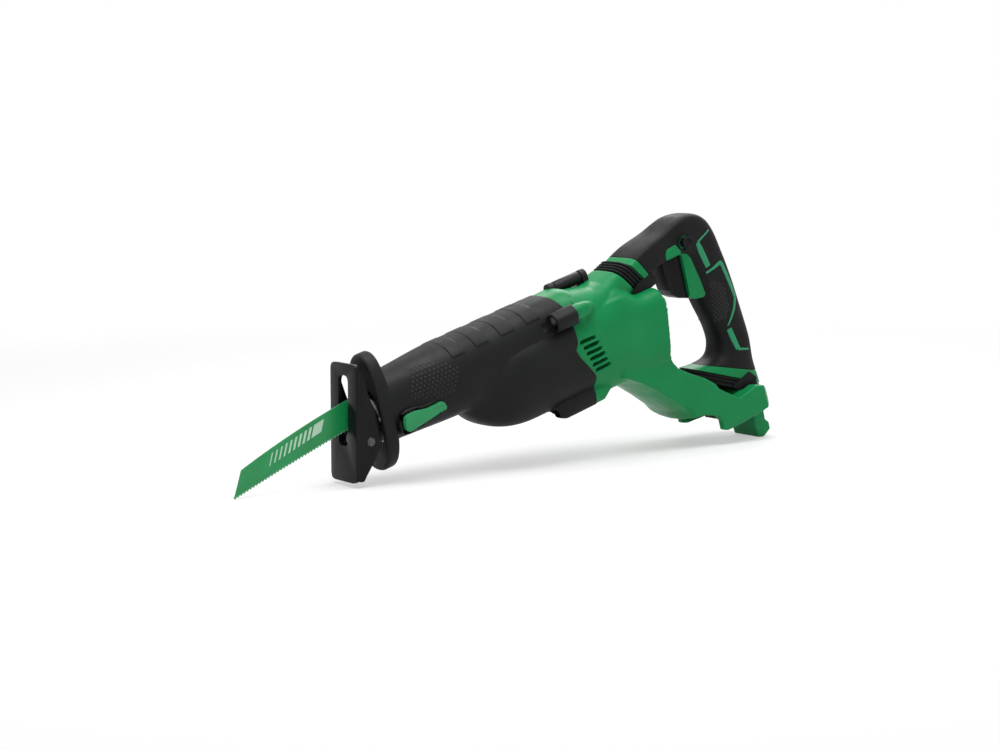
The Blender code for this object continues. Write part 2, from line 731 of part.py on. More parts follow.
def make_gear_case_cover():
    # End plate with the seats of both shafts and a closed tube round the plunger's tail.
    plate = cover_loft("gear_case_cover", CASE_REAR, PLATE_REAR, SKIN + GAP)
    wobble_end = CASE_REAR + BEARING_WIDTH + WALL
    motor_seat = wobble_end + 0.002
    motor_end = motor_seat + BEARING_WIDTH
    tail_end = PLUNGER_REAR + STROKE / 2 + WALL + 0.001
    overlap = PLATE_REAR - 0.002
    bush = PLUNGER_RADIUS + 0.0025
    unite(plate, rod("wobble_rear_boss", WOBBLE_BEARING_RADIUS + WALL, (overlap, 0, -WOBBLE_DROP),
                     (wobble_end, 0, -WOBBLE_DROP)))
    unite(plate, rod("motor_front_boss", MOTOR_BEARING_RADIUS + WALL, (overlap, 0, -MOTOR_DROP),
                     (motor_end, 0, -MOTOR_DROP)))
    unite(plate, rod("tail_tube", bush + WALL + 0.0006, (overlap, 0, 0), (tail_end + WALL, 0, 0)))
    subtract(plate, rod("wobble_rear_seat", WOBBLE_BEARING_RADIUS + GAP, (CASE_REAR - 0.01, 0, -WOBBLE_DROP),
                        (CASE_REAR + BEARING_WIDTH, 0, -WOBBLE_DROP)))
    subtract(plate, rod("motor_front_seat", MOTOR_BEARING_RADIUS + GAP, (motor_seat, 0, -MOTOR_DROP),
                        (motor_end + 0.01, 0, -MOTOR_DROP)))
    subtract(plate, rod("pinion_hole", gear_tip(PINION_TEETH) + RUN, (CASE_REAR - 0.01, 0, -MOTOR_DROP),
                        (motor_end, 0, -MOTOR_DROP)))
    subtract(plate, rod("tail_bore", bush + GAP, (CASE_REAR - 0.01, 0, 0), (tail_end, 0, 0)))
    finish(plate, ALLOY, 0.45, 1.0)
    rear = finish(turned("rear_bush", ring_profile(CASE_REAR + 0.001, CASE_REAR + 0.011,
                                                   PLUNGER_RADIUS + 0.0002,
                                                   bush), 0.0), BRONZE, 0.4, 1.0)
    bearing("wobble_rear_bearing", CASE_REAR + GAP, -WOBBLE_DROP, SHAFT_RADIUS, WOBBLE_BEARING_RADIUS)
    bearing("motor_front_bearing", motor_seat + GAP, -MOTOR_DROP, MOTOR_SHAFT_RADIUS, MOTOR_BEARING_RADIUS)
    guide = turned("guide_sleeve", ring_profile(NOSE_FRONT + 0.001, NOSE_FRONT + NOSE_LENGTH - 0.002,
                                                PLUNGER_RADIUS + 0.0002, guide_radius()), 0.0)
    finish(guide, BRONZE, 0.4, 1.0)
    return rear


# Gears, wobble drive and plunger

def gear_module():
    return 2 * (WOBBLE_DROP - MOTOR_DROP) / (GEAR_TEETH + PINION_TEETH)


def gear_tip(teeth):
    return gear_module() * (teeth / 2 + 0.75)


def gear_blank(name, teeth, x0, x1, z, phase):
    # Straight-flanked teeth, slim enough to run without rubbing.
    module = gear_module()
    tip = gear_tip(teeth)
    root = module * (teeth / 2 - 1.0)
    pitch = 2 * math.pi / teeth
    rings = []
    for x in (x0, x1):
        ring = []
        for k in range(teeth):
            middle = phase + k * pitch
            for share, radius in ((-0.30, root), (-0.10, tip), (0.10, tip), (0.30, root)):
                angle = middle + share * pitch
                ring.append(Vector((x, radius * math.cos(angle), z + radius * math.sin(angle))))
        rings.append(ring)
    return skin(name, rings)


def make_wobble_drive(seat, seat_rear):
    z = -WOBBLE_DROP
    shaft_rear = CASE_REAR + BEARING_WIDTH - 2 * GAP
    shaft = rod("wobble_shaft", SHAFT_RADIUS, (seat_rear + RUN, 0, z), (shaft_rear, 0, z))
    unite(shaft, rod("front_journal", FRONT_JOURNAL, (seat + 2 * GAP, 0, z), (seat_rear + 0.002, 0, z),
                     SMALL_SIDES))
    finish(shaft, STEEL, 0.3, 1.0, WOBBLE_AXIS)
    gear = gear_blank("drive_gear", GEAR_TEETH, GEAR_FRONT, GEAR_FRONT + GEAR_WIDTH, z,
                      math.pi / 2 + math.pi / GEAR_TEETH)
    subtract(gear, rod("gear_bore", SHAFT_RADIUS + GAP, (GEAR_FRONT - 0.01, 0, z), (CASE_REAR + 0.01, 0, z)))
    finish(gear, STEEL, 0.35, 1.0, WOBBLE_AXIS)

    # The hub is a slanted slice of a ball, so its rim stays on one sphere as it turns.
    bm = bmesh.new()
    bmesh.ops.create_uvsphere(bm, u_segments=16, v_segments=8, radius=HUB_RADIUS)
    turn = Matrix.Rotation(WOBBLE_ANGLE, 4, "Z") @ Matrix.Rotation(math.pi / 2, 4, "Y")
    for side in (-1, 1):
        normal = Vector((0, 0, side))
        cut = bmesh.ops.bisect_plane(bm, geom=bm.verts[:] + bm.edges[:] + bm.faces[:],
                                     plane_co=normal * HUB_WIDTH / 2, plane_no=normal, clear_outer=True)
        rim = [edge for edge in cut["geom_cut"] if isinstance(edge, bmesh.types.BMEdge)]
        bmesh.ops.contextual_create(bm, geom=rim)
    bmesh.ops.transform(bm, matrix=Matrix.Translation((WOBBLE_X, 0, z)) @ turn, verts=bm.verts)
    hub = object_from("wobble_hub", bm)
    subtract(hub, rod("hub_bore", SHAFT_RADIUS + GAP, (WOBBLE_X - 0.03, 0, z), (WOBBLE_X + 0.03, 0, z)))
    finish(hub, STEEL, 0.3, 1.0, WOBBLE_AXIS)


def make_wobble_ring():
    z = -WOBBLE_DROP
    half = RING_WIDTH / 2
    inner = HUB_RADIUS + RUN
    profile = [(WOBBLE_X - half, RING_RADIUS), (WOBBLE_X + half, RING_RADIUS)]
    for x in steps_between(half, -half, 4):
        profile.append((WOBBLE_X + x, math.sqrt(inner ** 2 - x ** 2)))
    ring = turned("wobble_ring", profile, z)
    unite(ring, rod("finger", FINGER_RADIUS, (WOBBLE_X, 0, z + RING_RADIUS - 0.002),
                    (WOBBLE_X, 0, -0.001), SMALL_SIDES))
    bm = bmesh.new()
    bmesh.ops.create_uvsphere(bm, u_segments=10, v_segments=6, radius=BALL_RADIUS)
    bmesh.ops.translate(bm, vec=(WOBBLE_X, 0, 0), verts=bm.verts)
    unite(ring, object_from("finger_ball", bm))
    finish(ring, STEEL, 0.3, 1.0, WOBBLE_RING_AXIS)


WOBBLE_RING_AXIS = add_empty("wobble_ring_axis", TOOL, (WOBBLE_X, 0, -WOBBLE_DROP))


def make_plunger():
    rod_solid = rod("plunger", PLUNGER_RADIUS, (PLUNGER_FRONT, 0, 0), (PLUNGER_REAR, 0, 0))
    flat = PLUNGER_RADIUS * 0.35
    reach = BALL_RADIUS + STROKE / 2
    subtract(rod_solid, box("plunger_flat", (WOBBLE_X - reach, -0.02, -0.02),
                            (WOBBLE_X + reach, 0.02, -flat)))
    pocket = BALL_RADIUS + 0.0008
    subtract(rod_solid, rod("finger_pocket", pocket, (WOBBLE_X, 0, -0.02),
                            (WOBBLE_X, 0, BALL_RADIUS + RUN), SMALL_SIDES))
    finish(rod_solid, STEEL, 0.25, 1.0, PLUNGER_AXIS)


def make_blade_clamp():
    holder_rear = HOLDER_FRONT + HOLDER_LENGTH
    holder = rod("blade_holder", HOLDER_RADIUS, (HOLDER_FRONT, 0, 0), (holder_rear, 0, 0))
    subtract(holder, rod("holder_bore", PLUNGER_RADIUS + GAP, (PLUNGER_FRONT - GAP, 0, 0),
                         (holder_rear + 0.01, 0, 0)))
    slot_depth = tang_rear() + GAP
    subtract(holder, box("tang_slot", (HOLDER_FRONT - 0.01, -BLADE_THICKNESS / 2 - GAP,
                                       -TANG_HALF_HEIGHT - GAP),
                         (slot_depth, BLADE_THICKNESS / 2 + GAP, TANG_HALF_HEIGHT + GAP)))
    pin_x = blade_pin_x()
    subtract(holder, rod("holder_pin_hole", BLADE_PIN_RADIUS + GAP, (pin_x, -0.02, 0), (pin_x, 0.02, 0),
                         SMALL_SIDES))
    finish(holder, STEEL, 0.35, 1.0, PLUNGER_AXIS)
    reach = HOLDER_RADIUS - 0.0003
    pin = rod("blade_pin", BLADE_PIN_RADIUS, (pin_x, -reach, 0), (pin_x, reach, 0), SMALL_SIDES)
    finish(pin, STEEL, 0.3, 1.0, PLUNGER_AXIS)
    sleeve_front = pin_x - SLEEVE_LENGTH / 2
    sleeve = turned("clamp_sleeve", ring_profile(sleeve_front, sleeve_front + SLEEVE_LENGTH,
                                                 HOLDER_RADIUS + GAP, SLEEVE_RADIUS), 0.0)
    finish(sleeve, STEEL, 0.45, 1.0, SLEEVE_AXIS)
    wire = 0.0008
    first = sleeve_front + SLEEVE_LENGTH + wire + GAP
    steps = 12
    radius = (HOLDER_RADIUS + wire + GAP) / math.cos(math.pi / steps)
    spring = coil("clamp_spring", (first, 0, 0), (holder_rear - wire, 0, 0), radius, wire, 3, steps)
    finish(spring, STEEL, 0.35, 1.0, PLUNGER_AXIS)


SLEEVE_AXIS = add_empty("clamp_sleeve_axis", TOOL, (HOLDER_FRONT, 0, 0))


def tang_rear():
    return PLUNGER_FRONT - 0.003


def blade_pin_x():
    return (HOLDER_FRONT + tang_rear()) / 2 + 0.001


def make_blade():
    # The back sweeps down to a slanted tip, and the lower edge is cut into teeth.
    heel = BLADE_HEEL_X
    points = [(tang_rear(), TANG_HALF_HEIGHT), (HOLDER_FRONT - 0.004, TANG_HALF_HEIGHT)]
    tip_top = (BLADE_TIP_X + 0.0135, BLADE_TIP_Z + 0.021)
    middle = ((heel + tip_top[0]) / 2, (BLADE_TOP + tip_top[1]) / 2 + 0.004)
    for i in range(9):
        t = i / 8
        x = mix(mix(heel, middle[0], t), mix(middle[0], tip_top[0], t), t)
        z = mix(mix(BLADE_TOP, middle[1], t), mix(middle[1], tip_top[1], t), t)
        points.append((x, z))
    points.append((BLADE_TIP_X, BLADE_TIP_Z))
    run = heel - BLADE_TIP_X
    count = int(run / TOOTH_PITCH)
    for k in range(count):
        for share, rise in ((0.55, TOOTH_DEPTH), (1.0, 0.0)):
            along = (k + share) / count
            edge = mix(BLADE_TIP_Z, BLADE_BOTTOM, along) + BLADE_BELLY * math.sin(math.pi * along)
            points.append((BLADE_TIP_X + run * along, edge + rise))
    points += [(HOLDER_FRONT - 0.004, -TANG_HALF_HEIGHT), (tang_rear(), -TANG_HALF_HEIGHT)]
    blade = outline("saw_blade", points, -BLADE_THICKNESS / 2, BLADE_THICKNESS / 2)
    pin_x = blade_pin_x()
    subtract(blade, rod("blade_pin_hole", BLADE_PIN_RADIUS + GAP, (pin_x, -0.01, 0), (pin_x, 0.01, 0),
                        SMALL_SIDES))
    finish(blade, GREEN, 0.35, 0.3, PLUNGER_AXIS)


# Shoe, post and their pins

def make_shoe_post():
    low, high = POST_Z - POST_THICKNESS / 2, POST_Z + POST_THICKNESS / 2
    side = SHOE_HALF_WIDTH - SHOE_PLATE - RUN
    lug = 0.0065
    fork_rear = SHOE_PIVOT_X + 0.014
    prong = side - lug
    front = SHOE_PIVOT_X - 0.0045
    plan = [
        (front, -side), (fork_rear, -side), (fork_rear + 0.004, -POST_HALF_WIDTH),
        (POST_REAR, -POST_HALF_WIDTH),
        (POST_REAR, POST_HALF_WIDTH), (fork_rear + 0.004, POST_HALF_WIDTH), (fork_rear, side), (front, side),
        (front, prong), (fork_rear - 0.005, prong), (fork_rear - 0.005, -prong), (front, -prong),
    ]
    post = outline("shoe_post", plan, low, high, "z")
    shy = 0.0004
    for name, y in (("left", -1), ("right", 1)):
        unite(post, rod("post_lug_" + name, SHOE_PIN_RADIUS + 0.003,
                        (SHOE_PIVOT_X, y * (prong + shy), SHOE_PIVOT_Z),
                        (SHOE_PIVOT_X, y * (side - shy), SHOE_PIVOT_Z)))
    subtract(post, rod("post_pin_hole", SHOE_PIN_RADIUS + 0.0001, (SHOE_PIVOT_X, -0.03, SHOE_PIVOT_Z),
                       (SHOE_PIVOT_X, 0.03, SHOE_PIVOT_Z)))
    finish(post, STEEL, 0.4, 1.0, POST_AXIS)
    return prong


def make_shoe(prong):
    # Drawn about its pivot: plate across x, ears running back along both sides.
    front = -SHOE_REACH
    back = front + SHOE_PLATE
    width = SHOE_HALF_WIDTH
    corner = 0.006
    face = []
    for y, z, start in ((width - corner, SHOE_ABOVE - corner, 0), (-width + corner, SHOE_ABOVE - corner, 90),
                        (-width + corner, -SHOE_BELOW + corner, 180),
                        (width - corner, -SHOE_BELOW + corner, 270)):
        face += arc((y, z), corner, start, start + 90, 4)
    shoe = outline("shoe", face, front, back, "x")
    slot_top = SHOE_ABOVE - 0.009
    slot_bottom = -SHOE_BELOW + 0.030
    half = SHOE_SLOT_HALF_WIDTH
    slot = arc((0, slot_top - half), half, 0, 180, 8) + arc((0, slot_bottom + half), half, 180, 360, 8)
    ear = [
        (back - 0.001, SHOE_ABOVE - 0.008), (front + 0.008, SHOE_ABOVE - 0.016),
        (front + 0.013, SHOE_ABOVE - 0.030),
        (0.0065, 0.018), (0.0085, 0.002), (0.0065, -0.011), (front + 0.010, -SHOE_BELOW + 0.003),
        (back - 0.001, -SHOE_BELOW + 0.003),
    ]
    pins = []
    for name, y in (("left", -1), ("right", 1)):
        near, far = sorted((y * (width - SHOE_PLATE), y * (width - 0.0002)))
        unite(shoe, outline("ear_" + name, ear, near, far), parent=SHOE_AXIS)
        reach = sorted((y * (prong + 0.001), y * (width + 0.0015)))
        pins.append(rod("shoe_pin_" + name, SHOE_PIN_RADIUS, (0, reach[0], 0), (0, reach[1], 0)))
    subtract(shoe, outline("shoe_slot", slot, front - 0.01, back + 0.005, "x"),
             rod("shoe_pin_hole", SHOE_PIN_RADIUS + GAP, (0, -0.04, 0), (0, 0.04, 0)), parent=SHOE_AXIS)
    finish(shoe, BLACK, 0.3, 0.6, SHOE_AXIS)
    for pin in pins:
        finish(pin, STEEL, 0.35, 1.0, SHOE_AXIS)


# Blade-release lever

def lever_recess():
    z = LEVER_Z
    rear = LEVER_PIVOT_X + LEVER_LENGTH + 0.004
    floor = -LEVER_Y + LEVER_THICKNESS / 2 + RUN
    tail = box("lever_recess", (LEVER_PIVOT_X, -0.06, z - LEVER_LOBE - 0.001),
               (rear, floor, z + LEVER_LOBE + 0.001))
    well = rod("lever_well", LEVER_LOBE + 0.0022, (LEVER_PIVOT_X, -LEVER_Y, z - LEVER_LOBE - 0.001),
               (LEVER_PIVOT_X, -LEVER_Y, z + LEVER_LOBE + 0.001))
    front = box("lever_front", (LEVER_PIVOT_X - LEVER_LOBE - 0.0022, -0.06, z - LEVER_LOBE - 0.001),
                (LEVER_PIVOT_X + 0.001, -LEVER_Y + 0.001, z + LEVER_LOBE + 0.001))
    hole = rod("lever_pin_hole", LEVER_PIN_RADIUS + GAP / 2,
               (LEVER_PIVOT_X, -LEVER_Y, z - LEVER_LOBE - 0.006),
               (LEVER_PIVOT_X, -LEVER_Y, z + LEVER_LOBE + 0.006), SMALL_SIDES)
    return tail, well, front, hole


def make_blade_lever():
    z = LEVER_Z
    tail_z = z + 0.001
    end = (LEVER_PIVOT_X + LEVER_LENGTH - LEVER_TAIL_HALF_HEIGHT, tail_z)
    points = arc((LEVER_PIVOT_X, z), LEVER_LOBE, 60, 300, 10)
    points += arc(end, LEVER_TAIL_HALF_HEIGHT, -70, 70, 5)
    points.append((LEVER_PIVOT_X + LEVER_LENGTH * 0.45, tail_z + LEVER_TAIL_HALF_HEIGHT * 0.8))
    half = LEVER_THICKNESS / 2
    lever = outline("blade_lever", points, -LEVER_Y - half, -LEVER_Y + half)
    hole = rod("lever_bore", LEVER_PIN_RADIUS + 0.0001, (LEVER_PIVOT_X, -LEVER_Y, z - 0.03),
               (LEVER_PIVOT_X, -LEVER_Y, z + 0.03), SMALL_SIDES)
    subtract(lever, hole)
    finish(lever, GREEN, 0.4, 0.0, LEVER_AXIS)
    pin = rod("lever_pin", LEVER_PIN_RADIUS, (LEVER_PIVOT_X, -LEVER_Y, z - LEVER_LOBE - 0.005),
              (LEVER_PIVOT_X, -LEVER_Y, z + LEVER_LOBE + 0.005), SMALL_SIDES)
    finish(pin, STEEL, 0.35, 1.0)


# Motor

def make_motor():
    z = -MOTOR_DROP
    end = STATOR_START + STATOR_LENGTH
    stator = turned("stator_core", ring_profile(STATOR_START, end, ROTOR_RADIUS + 0.0009 + WALL * 3,
                                                STATOR_RADIUS), z)
    finish(stator, STEEL, 0.5, 1.0)
    inner = ROTOR_RADIUS + 0.0009
    bore = inner + WALL * 3 - GAP
    outer = STATOR_RADIUS - 0.003
    first, last = STATOR_START - WINDING_REACH, end + WINDING_REACH
    near, far = STATOR_START - GAP, end + GAP
    winding = turned("stator_winding", [
        (first, inner), (first, outer), (near, outer), (near, bore), (far, bore), (far, outer),
        (last, outer),
        (last, inner)], z)
    finish(winding, COPPER, 0.4, 0.8)
    shaft_rear = REAR_BEARING_START + BEARING_WIDTH - GAP
    step = GEAR_FRONT + GEAR_WIDTH + 0.001 + GAP
    shaft = rod("rotor_shaft", MOTOR_SHAFT_RADIUS, (step, 0, z), (shaft_rear, 0, z))
    unite(shaft, rod("pinion_journal", PINION_BORE, (GEAR_FRONT - 0.001, 0, z), (step + 0.001, 0, z),
                     SMALL_SIDES))
    finish(shaft, STEEL, 0.3, 1.0, ROTOR_AXIS)
    bore_radius = MOTOR_SHAFT_RADIUS + GAP
    core = turned("rotor_core", ring_profile(STATOR_START - 0.001, end + 0.001, bore_radius,
                                             ROTOR_RADIUS), z)
    finish(core, STEEL, 0.45, 1.0, ROTOR_AXIS)
    pinion = gear_blank("drive_pinion", PINION_TEETH, GEAR_FRONT - 0.0005,
                        GEAR_FRONT + GEAR_WIDTH + 0.001, z,
                        -math.pi / 2)
    return pinion, bore_radius


def make_pinion_and_fan(pinion, bore_radius):
    z = -MOTOR_DROP
    subtract(pinion, rod("pinion_bore", PINION_BORE + GAP / 2, (GEAR_FRONT - 0.01, 0, z),
                         (CASE_REAR + 0.01, 0, z), SMALL_SIDES))
    finish(pinion, STEEL, 0.35, 1.0, ROTOR_AXIS)
    rear = FAN_START + FAN_WIDTH
    disc = rear - 0.0018
    hub = 0.007
    fan = turned("cooling_fan", [(FAN_START, bore_radius), (FAN_START, hub), (disc, hub), (disc, FAN_RADIUS),
                                 (rear, FAN_RADIUS), (rear, bore_radius)], z)
    bm = bmesh.new()
    for k in range(FAN_BLADES):
        blade = bmesh.ops.create_cube(bm, size=1.0)["verts"]
        size = Vector((FAN_WIDTH - 0.001, 0.0012, FAN_RADIUS * 0.5))
        bmesh.ops.scale(bm, vec=size, verts=blade)
        place = Matrix.Translation((0, 0, FAN_RADIUS * 0.73)) @ Matrix.Rotation(math.radians(25), 4, "X")
        spin = Matrix.Rotation(2 * math.pi * k / FAN_BLADES, 4, "X")
        centre = Matrix.Translation((FAN_START + FAN_WIDTH / 2, 0, z))
        bmesh.ops.transform(bm, matrix=centre @ spin @ place, verts=blade)
    unite(fan, object_from("fan_blades", bm))
    finish(fan, BLACK, 0.5, 0.0, ROTOR_AXIS)
    bearing("motor_rear_bearing", REAR_BEARING_START + GAP, z, MOTOR_SHAFT_RADIUS, MOTOR_BEARING_RADIUS)


# Motor housing with battery base, in two halves

def bay_z(x):
    return BASE_FRONT_Z + (x - BASE_FRONT) * math.tan(BAY_SLOPE)


def bay_ceiling(x):
    return bay_z(x) + BAY_STEP


def joint_z(x):
    # Top plane of the battery base under the lower bellows.
    low = Vector((HEEL_X, 0, HEEL_Z)) + HEEL_NORMAL * LOWER_BELLOWS_HEIGHT
    return low.z + (x - low.x) * math.tan(JOINT_SLOPE)


def board_front():
    return BASE_FRONT + WALL


def joint_front():
    low = Vector((HEEL_X, 0,
                  HEEL_Z)) + HEEL_NORMAL * LOWER_BELLOWS_HEIGHT - HEEL_ALONG * (HEEL_HALF_LENGTH - 0.001)
    return low.x


def base_outline():
    # Side view of neck and base: a long arch in front, rails below, the slanted joint on top.
    turn = math.degrees(math.asin((BASE_FRONT_Z + 0.004 - ARCH_Z) / ARCH_RADIUS))
    rail_rear = RAIL_Z - 0.001
    points = [(ARCH_X + ARCH_RADIUS * 0.45, -HOUSING_BOTTOM + 0.03)]
    points += arc((ARCH_X, ARCH_Z), ARCH_RADIUS, 61, turn, 6)
    points += [
        (BASE_FRONT + 0.002, BASE_FRONT_Z), (RAIL_FRONT - 0.012, bay_z(RAIL_FRONT - 0.012)),
        (RAIL_FRONT - 0.002, RAIL_Z + 0.013), (RAIL_FRONT, RAIL_Z),
        (BASE_REAR - 0.002, rail_rear), (BASE_REAR, rail_rear + 0.003), (BASE_REAR, joint_z(BASE_REAR)),
        (joint_front(), joint_z(joint_front())),
    ]
    rear = HOUSING_REAR - 0.010
    points += [(mix(joint_front(), rear, 0.45), mix(joint_z(joint_front()), -HOUSING_BOTTOM, 0.40)),
               (rear, -HOUSING_BOTTOM), (rear, -HOUSING_BOTTOM + 0.03)]
    return points


def foot_outline():
    slope = -math.tan(TILT)
    front, rear = FOOT_X - FOOT_LENGTH / 2, FOOT_X + FOOT_LENGTH / 2
    return [
        (BAY_REAR - 0.001, bay_z(BAY_REAR)), (front, FOOT_Z + slope * (front - FOOT_X)),
        (rear, FOOT_Z + slope * (rear - FOOT_X)), (BASE_REAR - 0.004, RAIL_Z),
        (BASE_REAR - 0.004, bay_z(BASE_REAR)),
    ]


def shell_tools():
    # Solids shared by both halves: what is added to the motor barrel and what is cut from it.
    z = -MOTOR_DROP
    stub = skin("arm_stub", [
        oval(STUB_FRONT, STUB_Z - 0.007, ARM_HALF_WIDTH, STUB_HALF_HEIGHT - 0.003),
        oval(STUB_X, STUB_Z, ARM_HALF_WIDTH, STUB_HALF_HEIGHT, heading=ARM_RAKE),
    ])
    added = [
        cover_loft("spigot", PLATE_REAR + GAP, SEAM_TOP_X + 0.006, SKIN + GAP),
        outline("battery_base", base_outline(), -BASE_HALF_WIDTH, BASE_HALF_WIDTH),
        outline("rear_foot", foot_outline(), -FOOT_HALF_WIDTH, FOOT_HALF_WIDTH),
        stub,
    ]
    for i, (y, z_boss) in enumerate(BOSSES):
        added.append(skin("housing_boss_%d" % i, taper_rings(y, z_boss)))
    ear = HOOK_EAR
    for name, x in (("front", HOOK_FRONT), ("rear", HOOK_FRONT + HOOK_LENGTH - ear)):
        foot = [(HOOK_Y - 0.006, HOUSING_TOP - 0.012), (HOOK_Y + 0.006, HOUSING_TOP - 0.012)]
        foot += arc((HOOK_Y, HOOK_Z), HOOK_PIN_RADIUS + 0.003, 0, 180, 8)
        added.append(outline("hook_ear_" + name, foot, x, x + ear, "x"))

    bay = [(RAIL_FRONT - 0.03, bay_ceiling(RAIL_FRONT - 0.03)), (BAY_REAR, bay_ceiling(BAY_REAR)),
           (BAY_REAR, FOOT_Z - 0.03), (RAIL_FRONT - 0.03, FOOT_Z - 0.03)]
    chamber_end = STATOR_START + 0.007
    stator_end = STATOR_START + STATOR_LENGTH + GAP
    front_chamber = skin("front_chamber", [
        cover_ring(PLATE_REAR - 0.01, SKIN + GAP + WALL), cover_ring(SEAM_MID_X - 0.004, SKIN + GAP + WALL),
        motor_ring(SEAM_TOP_X + 0.006, SKIN + GAP + WALL), motor_ring(chamber_end, SKIN + WALL),
    ])
    rear_chamber = motor_loft("rear_chamber", REAR_BEARING_START + BEARING_WIDTH + WALL,
                              HOUSING_REAR - REAR_ROUNDING - WALL, WALL, 1)
    board = board_front()
    wiring = [
        (HOUSING_REAR - 0.034, -HOUSING_BOTTOM + 0.02), (board, bay_ceiling(board) + 0.026),
        (board, bay_ceiling(board) + WALL), (BOARD_REAR, bay_ceiling(BOARD_REAR) + WALL),
        (BOARD_REAR, bay_ceiling(BOARD_REAR) + WALL + BOARD_HEIGHT + 0.004),
        (HOUSING_REAR - 0.016, -HOUSING_BOTTOM + 0.02),
    ]
    cut = [
        outline("battery_bay", bay, -BAY_HALF_WIDTH, BAY_HALF_WIDTH),
        front_chamber,
        rod("stator_bore", STATOR_RADIUS + GAP, (chamber_end - 0.005, 0, z), (stator_end, 0, z)),
        rod("winding_space", STATOR_RADIUS - 0.001, (stator_end - 0.002, 0, z),
            (stator_end + WINDING_REACH + 0.002, 0, z)),
        rod("rear_bearing_seat", MOTOR_BEARING_RADIUS + GAP, (stator_end + WINDING_REACH, 0, z),
            (REAR_BEARING_START + BEARING_WIDTH, 0, z)),
        rear_chamber,
        outline("wiring_space", wiring, -BAY_HALF_WIDTH + 0.002, BAY_HALF_WIDTH - 0.002),
        tongue_slot(),
        rod("pivot_hole", PIVOT_RADIUS + GAP, (PIVOT_X, -pivot_reach() - GAP, PIVOT_Z),
            (PIVOT_X, pivot_reach() + GAP, PIVOT_Z)),
        rod("hook_pin_hole", HOOK_PIN_RADIUS + GAP, (HOOK_FRONT - 0.01, HOOK_Y, HOOK_Z),
            (HOOK_FRONT + HOOK_LENGTH + 0.01, HOOK_Y, HOOK_Z), SMALL_SIDES),
        knuckle_space(),
    ]
    for name, y in (("left", -1), ("right", 1)):
        plan = [(BASE_REAR - BASE_CORNER, y * BASE_HALF_WIDTH * 1.001), (BASE_REAR, y * HEEL_HALF_WIDTH),
                (BASE_REAR + 0.01, y * HEEL_HALF_WIDTH), (BASE_REAR + 0.01, y * BASE_HALF_WIDTH * 1.2),
                (BASE_REAR - BASE_CORNER, y * BASE_HALF_WIDTH * 1.2)]
        cut.append(outline("base_corner_" + name, plan, RAIL_Z - 0.02, HEEL_Z + 0.02, "z"))
    for i in range(len(BOSSES)):
        cut += [bolt_hole(i), head_pocket(i)]
    cut += vent_slots()
    return added, cut


def taper_rings(y, z):
    # A boss behind each bolt that runs out into the housing's side.
    rings = []
    for x, radius, pull in ((SEAM_MID_X - 0.004, BOSS_RADIUS, 0.0), (BOLT_END - 0.006, BOSS_RADIUS, 0.0),
                            (BOLT_END + 0.026, BOSS_RADIUS * 0.6, 0.011)):
        centre = Vector((0, y - math.copysign(pull, y), z - math.copysign(pull * 0.5, z)))
        rings.append([point + Vector((0, centre.y, 0)) for point in oval(x, centre.z, radius, radius,
                                                                         2.0, sides=SMALL_SIDES)])
    return rings


def knuckle_space():
    return box("knuckle_space", (HOOK_FRONT + HOOK_EAR, HOOK_Y - HOOK_RADIUS - 0.002, HOUSING_TOP - 0.0005),
               (HOOK_FRONT + HOOK_LENGTH - HOOK_EAR, HOOK_Y + HOOK_RADIUS + 0.004, HOOK_Z + 0.02))


def pivot_reach():
    return BASE_HALF_WIDTH - WALL * 2


def tongue_slot():
    return box("tongue_slot", (PIVOT_X - 0.0145, -TONGUE_HALF_WIDTH - RUN, PIVOT_Z - 0.0105),
               (PIVOT_X + 0.0145, TONGUE_HALF_WIDTH + RUN, HEEL_Z + 0.03))


def vent_slots():
    # Slanted exhaust slots beside the fan, cut through both sides.
    slots = []
    for k in range(VENT_SLOTS):
        share = k / (VENT_SLOTS - 1)
        middle = Vector((mix(SEAM_MID_X + 0.016, SEAM_MID_X + 0.022, share), 0, mix(-0.004, -0.050, share)))
        slope = math.radians(-14)
        along = Vector((math.cos(slope), 0, math.sin(slope))) * VENT_LENGTH / 2
        across = Vector((-math.sin(slope), 0, math.cos(slope))) * VENT_WIDTH / 2
        corners = [middle - along - across, middle + along - across, middle + along + across,
                   middle - along + across]
        slots.append(outline("vent_%d" % k, [(c.x, c.z) for c in corners], -0.06, 0.06))
    for k in range(5):
        z = mix(-0.012, -0.058, k / 4)
        slots.append(rod("inlet_%d" % k, 0.0035, (HOUSING_REAR + 0.001, -0.06, z),
                         (HOUSING_REAR + 0.001, 0.06, z), SMALL_SIDES))
    return slots


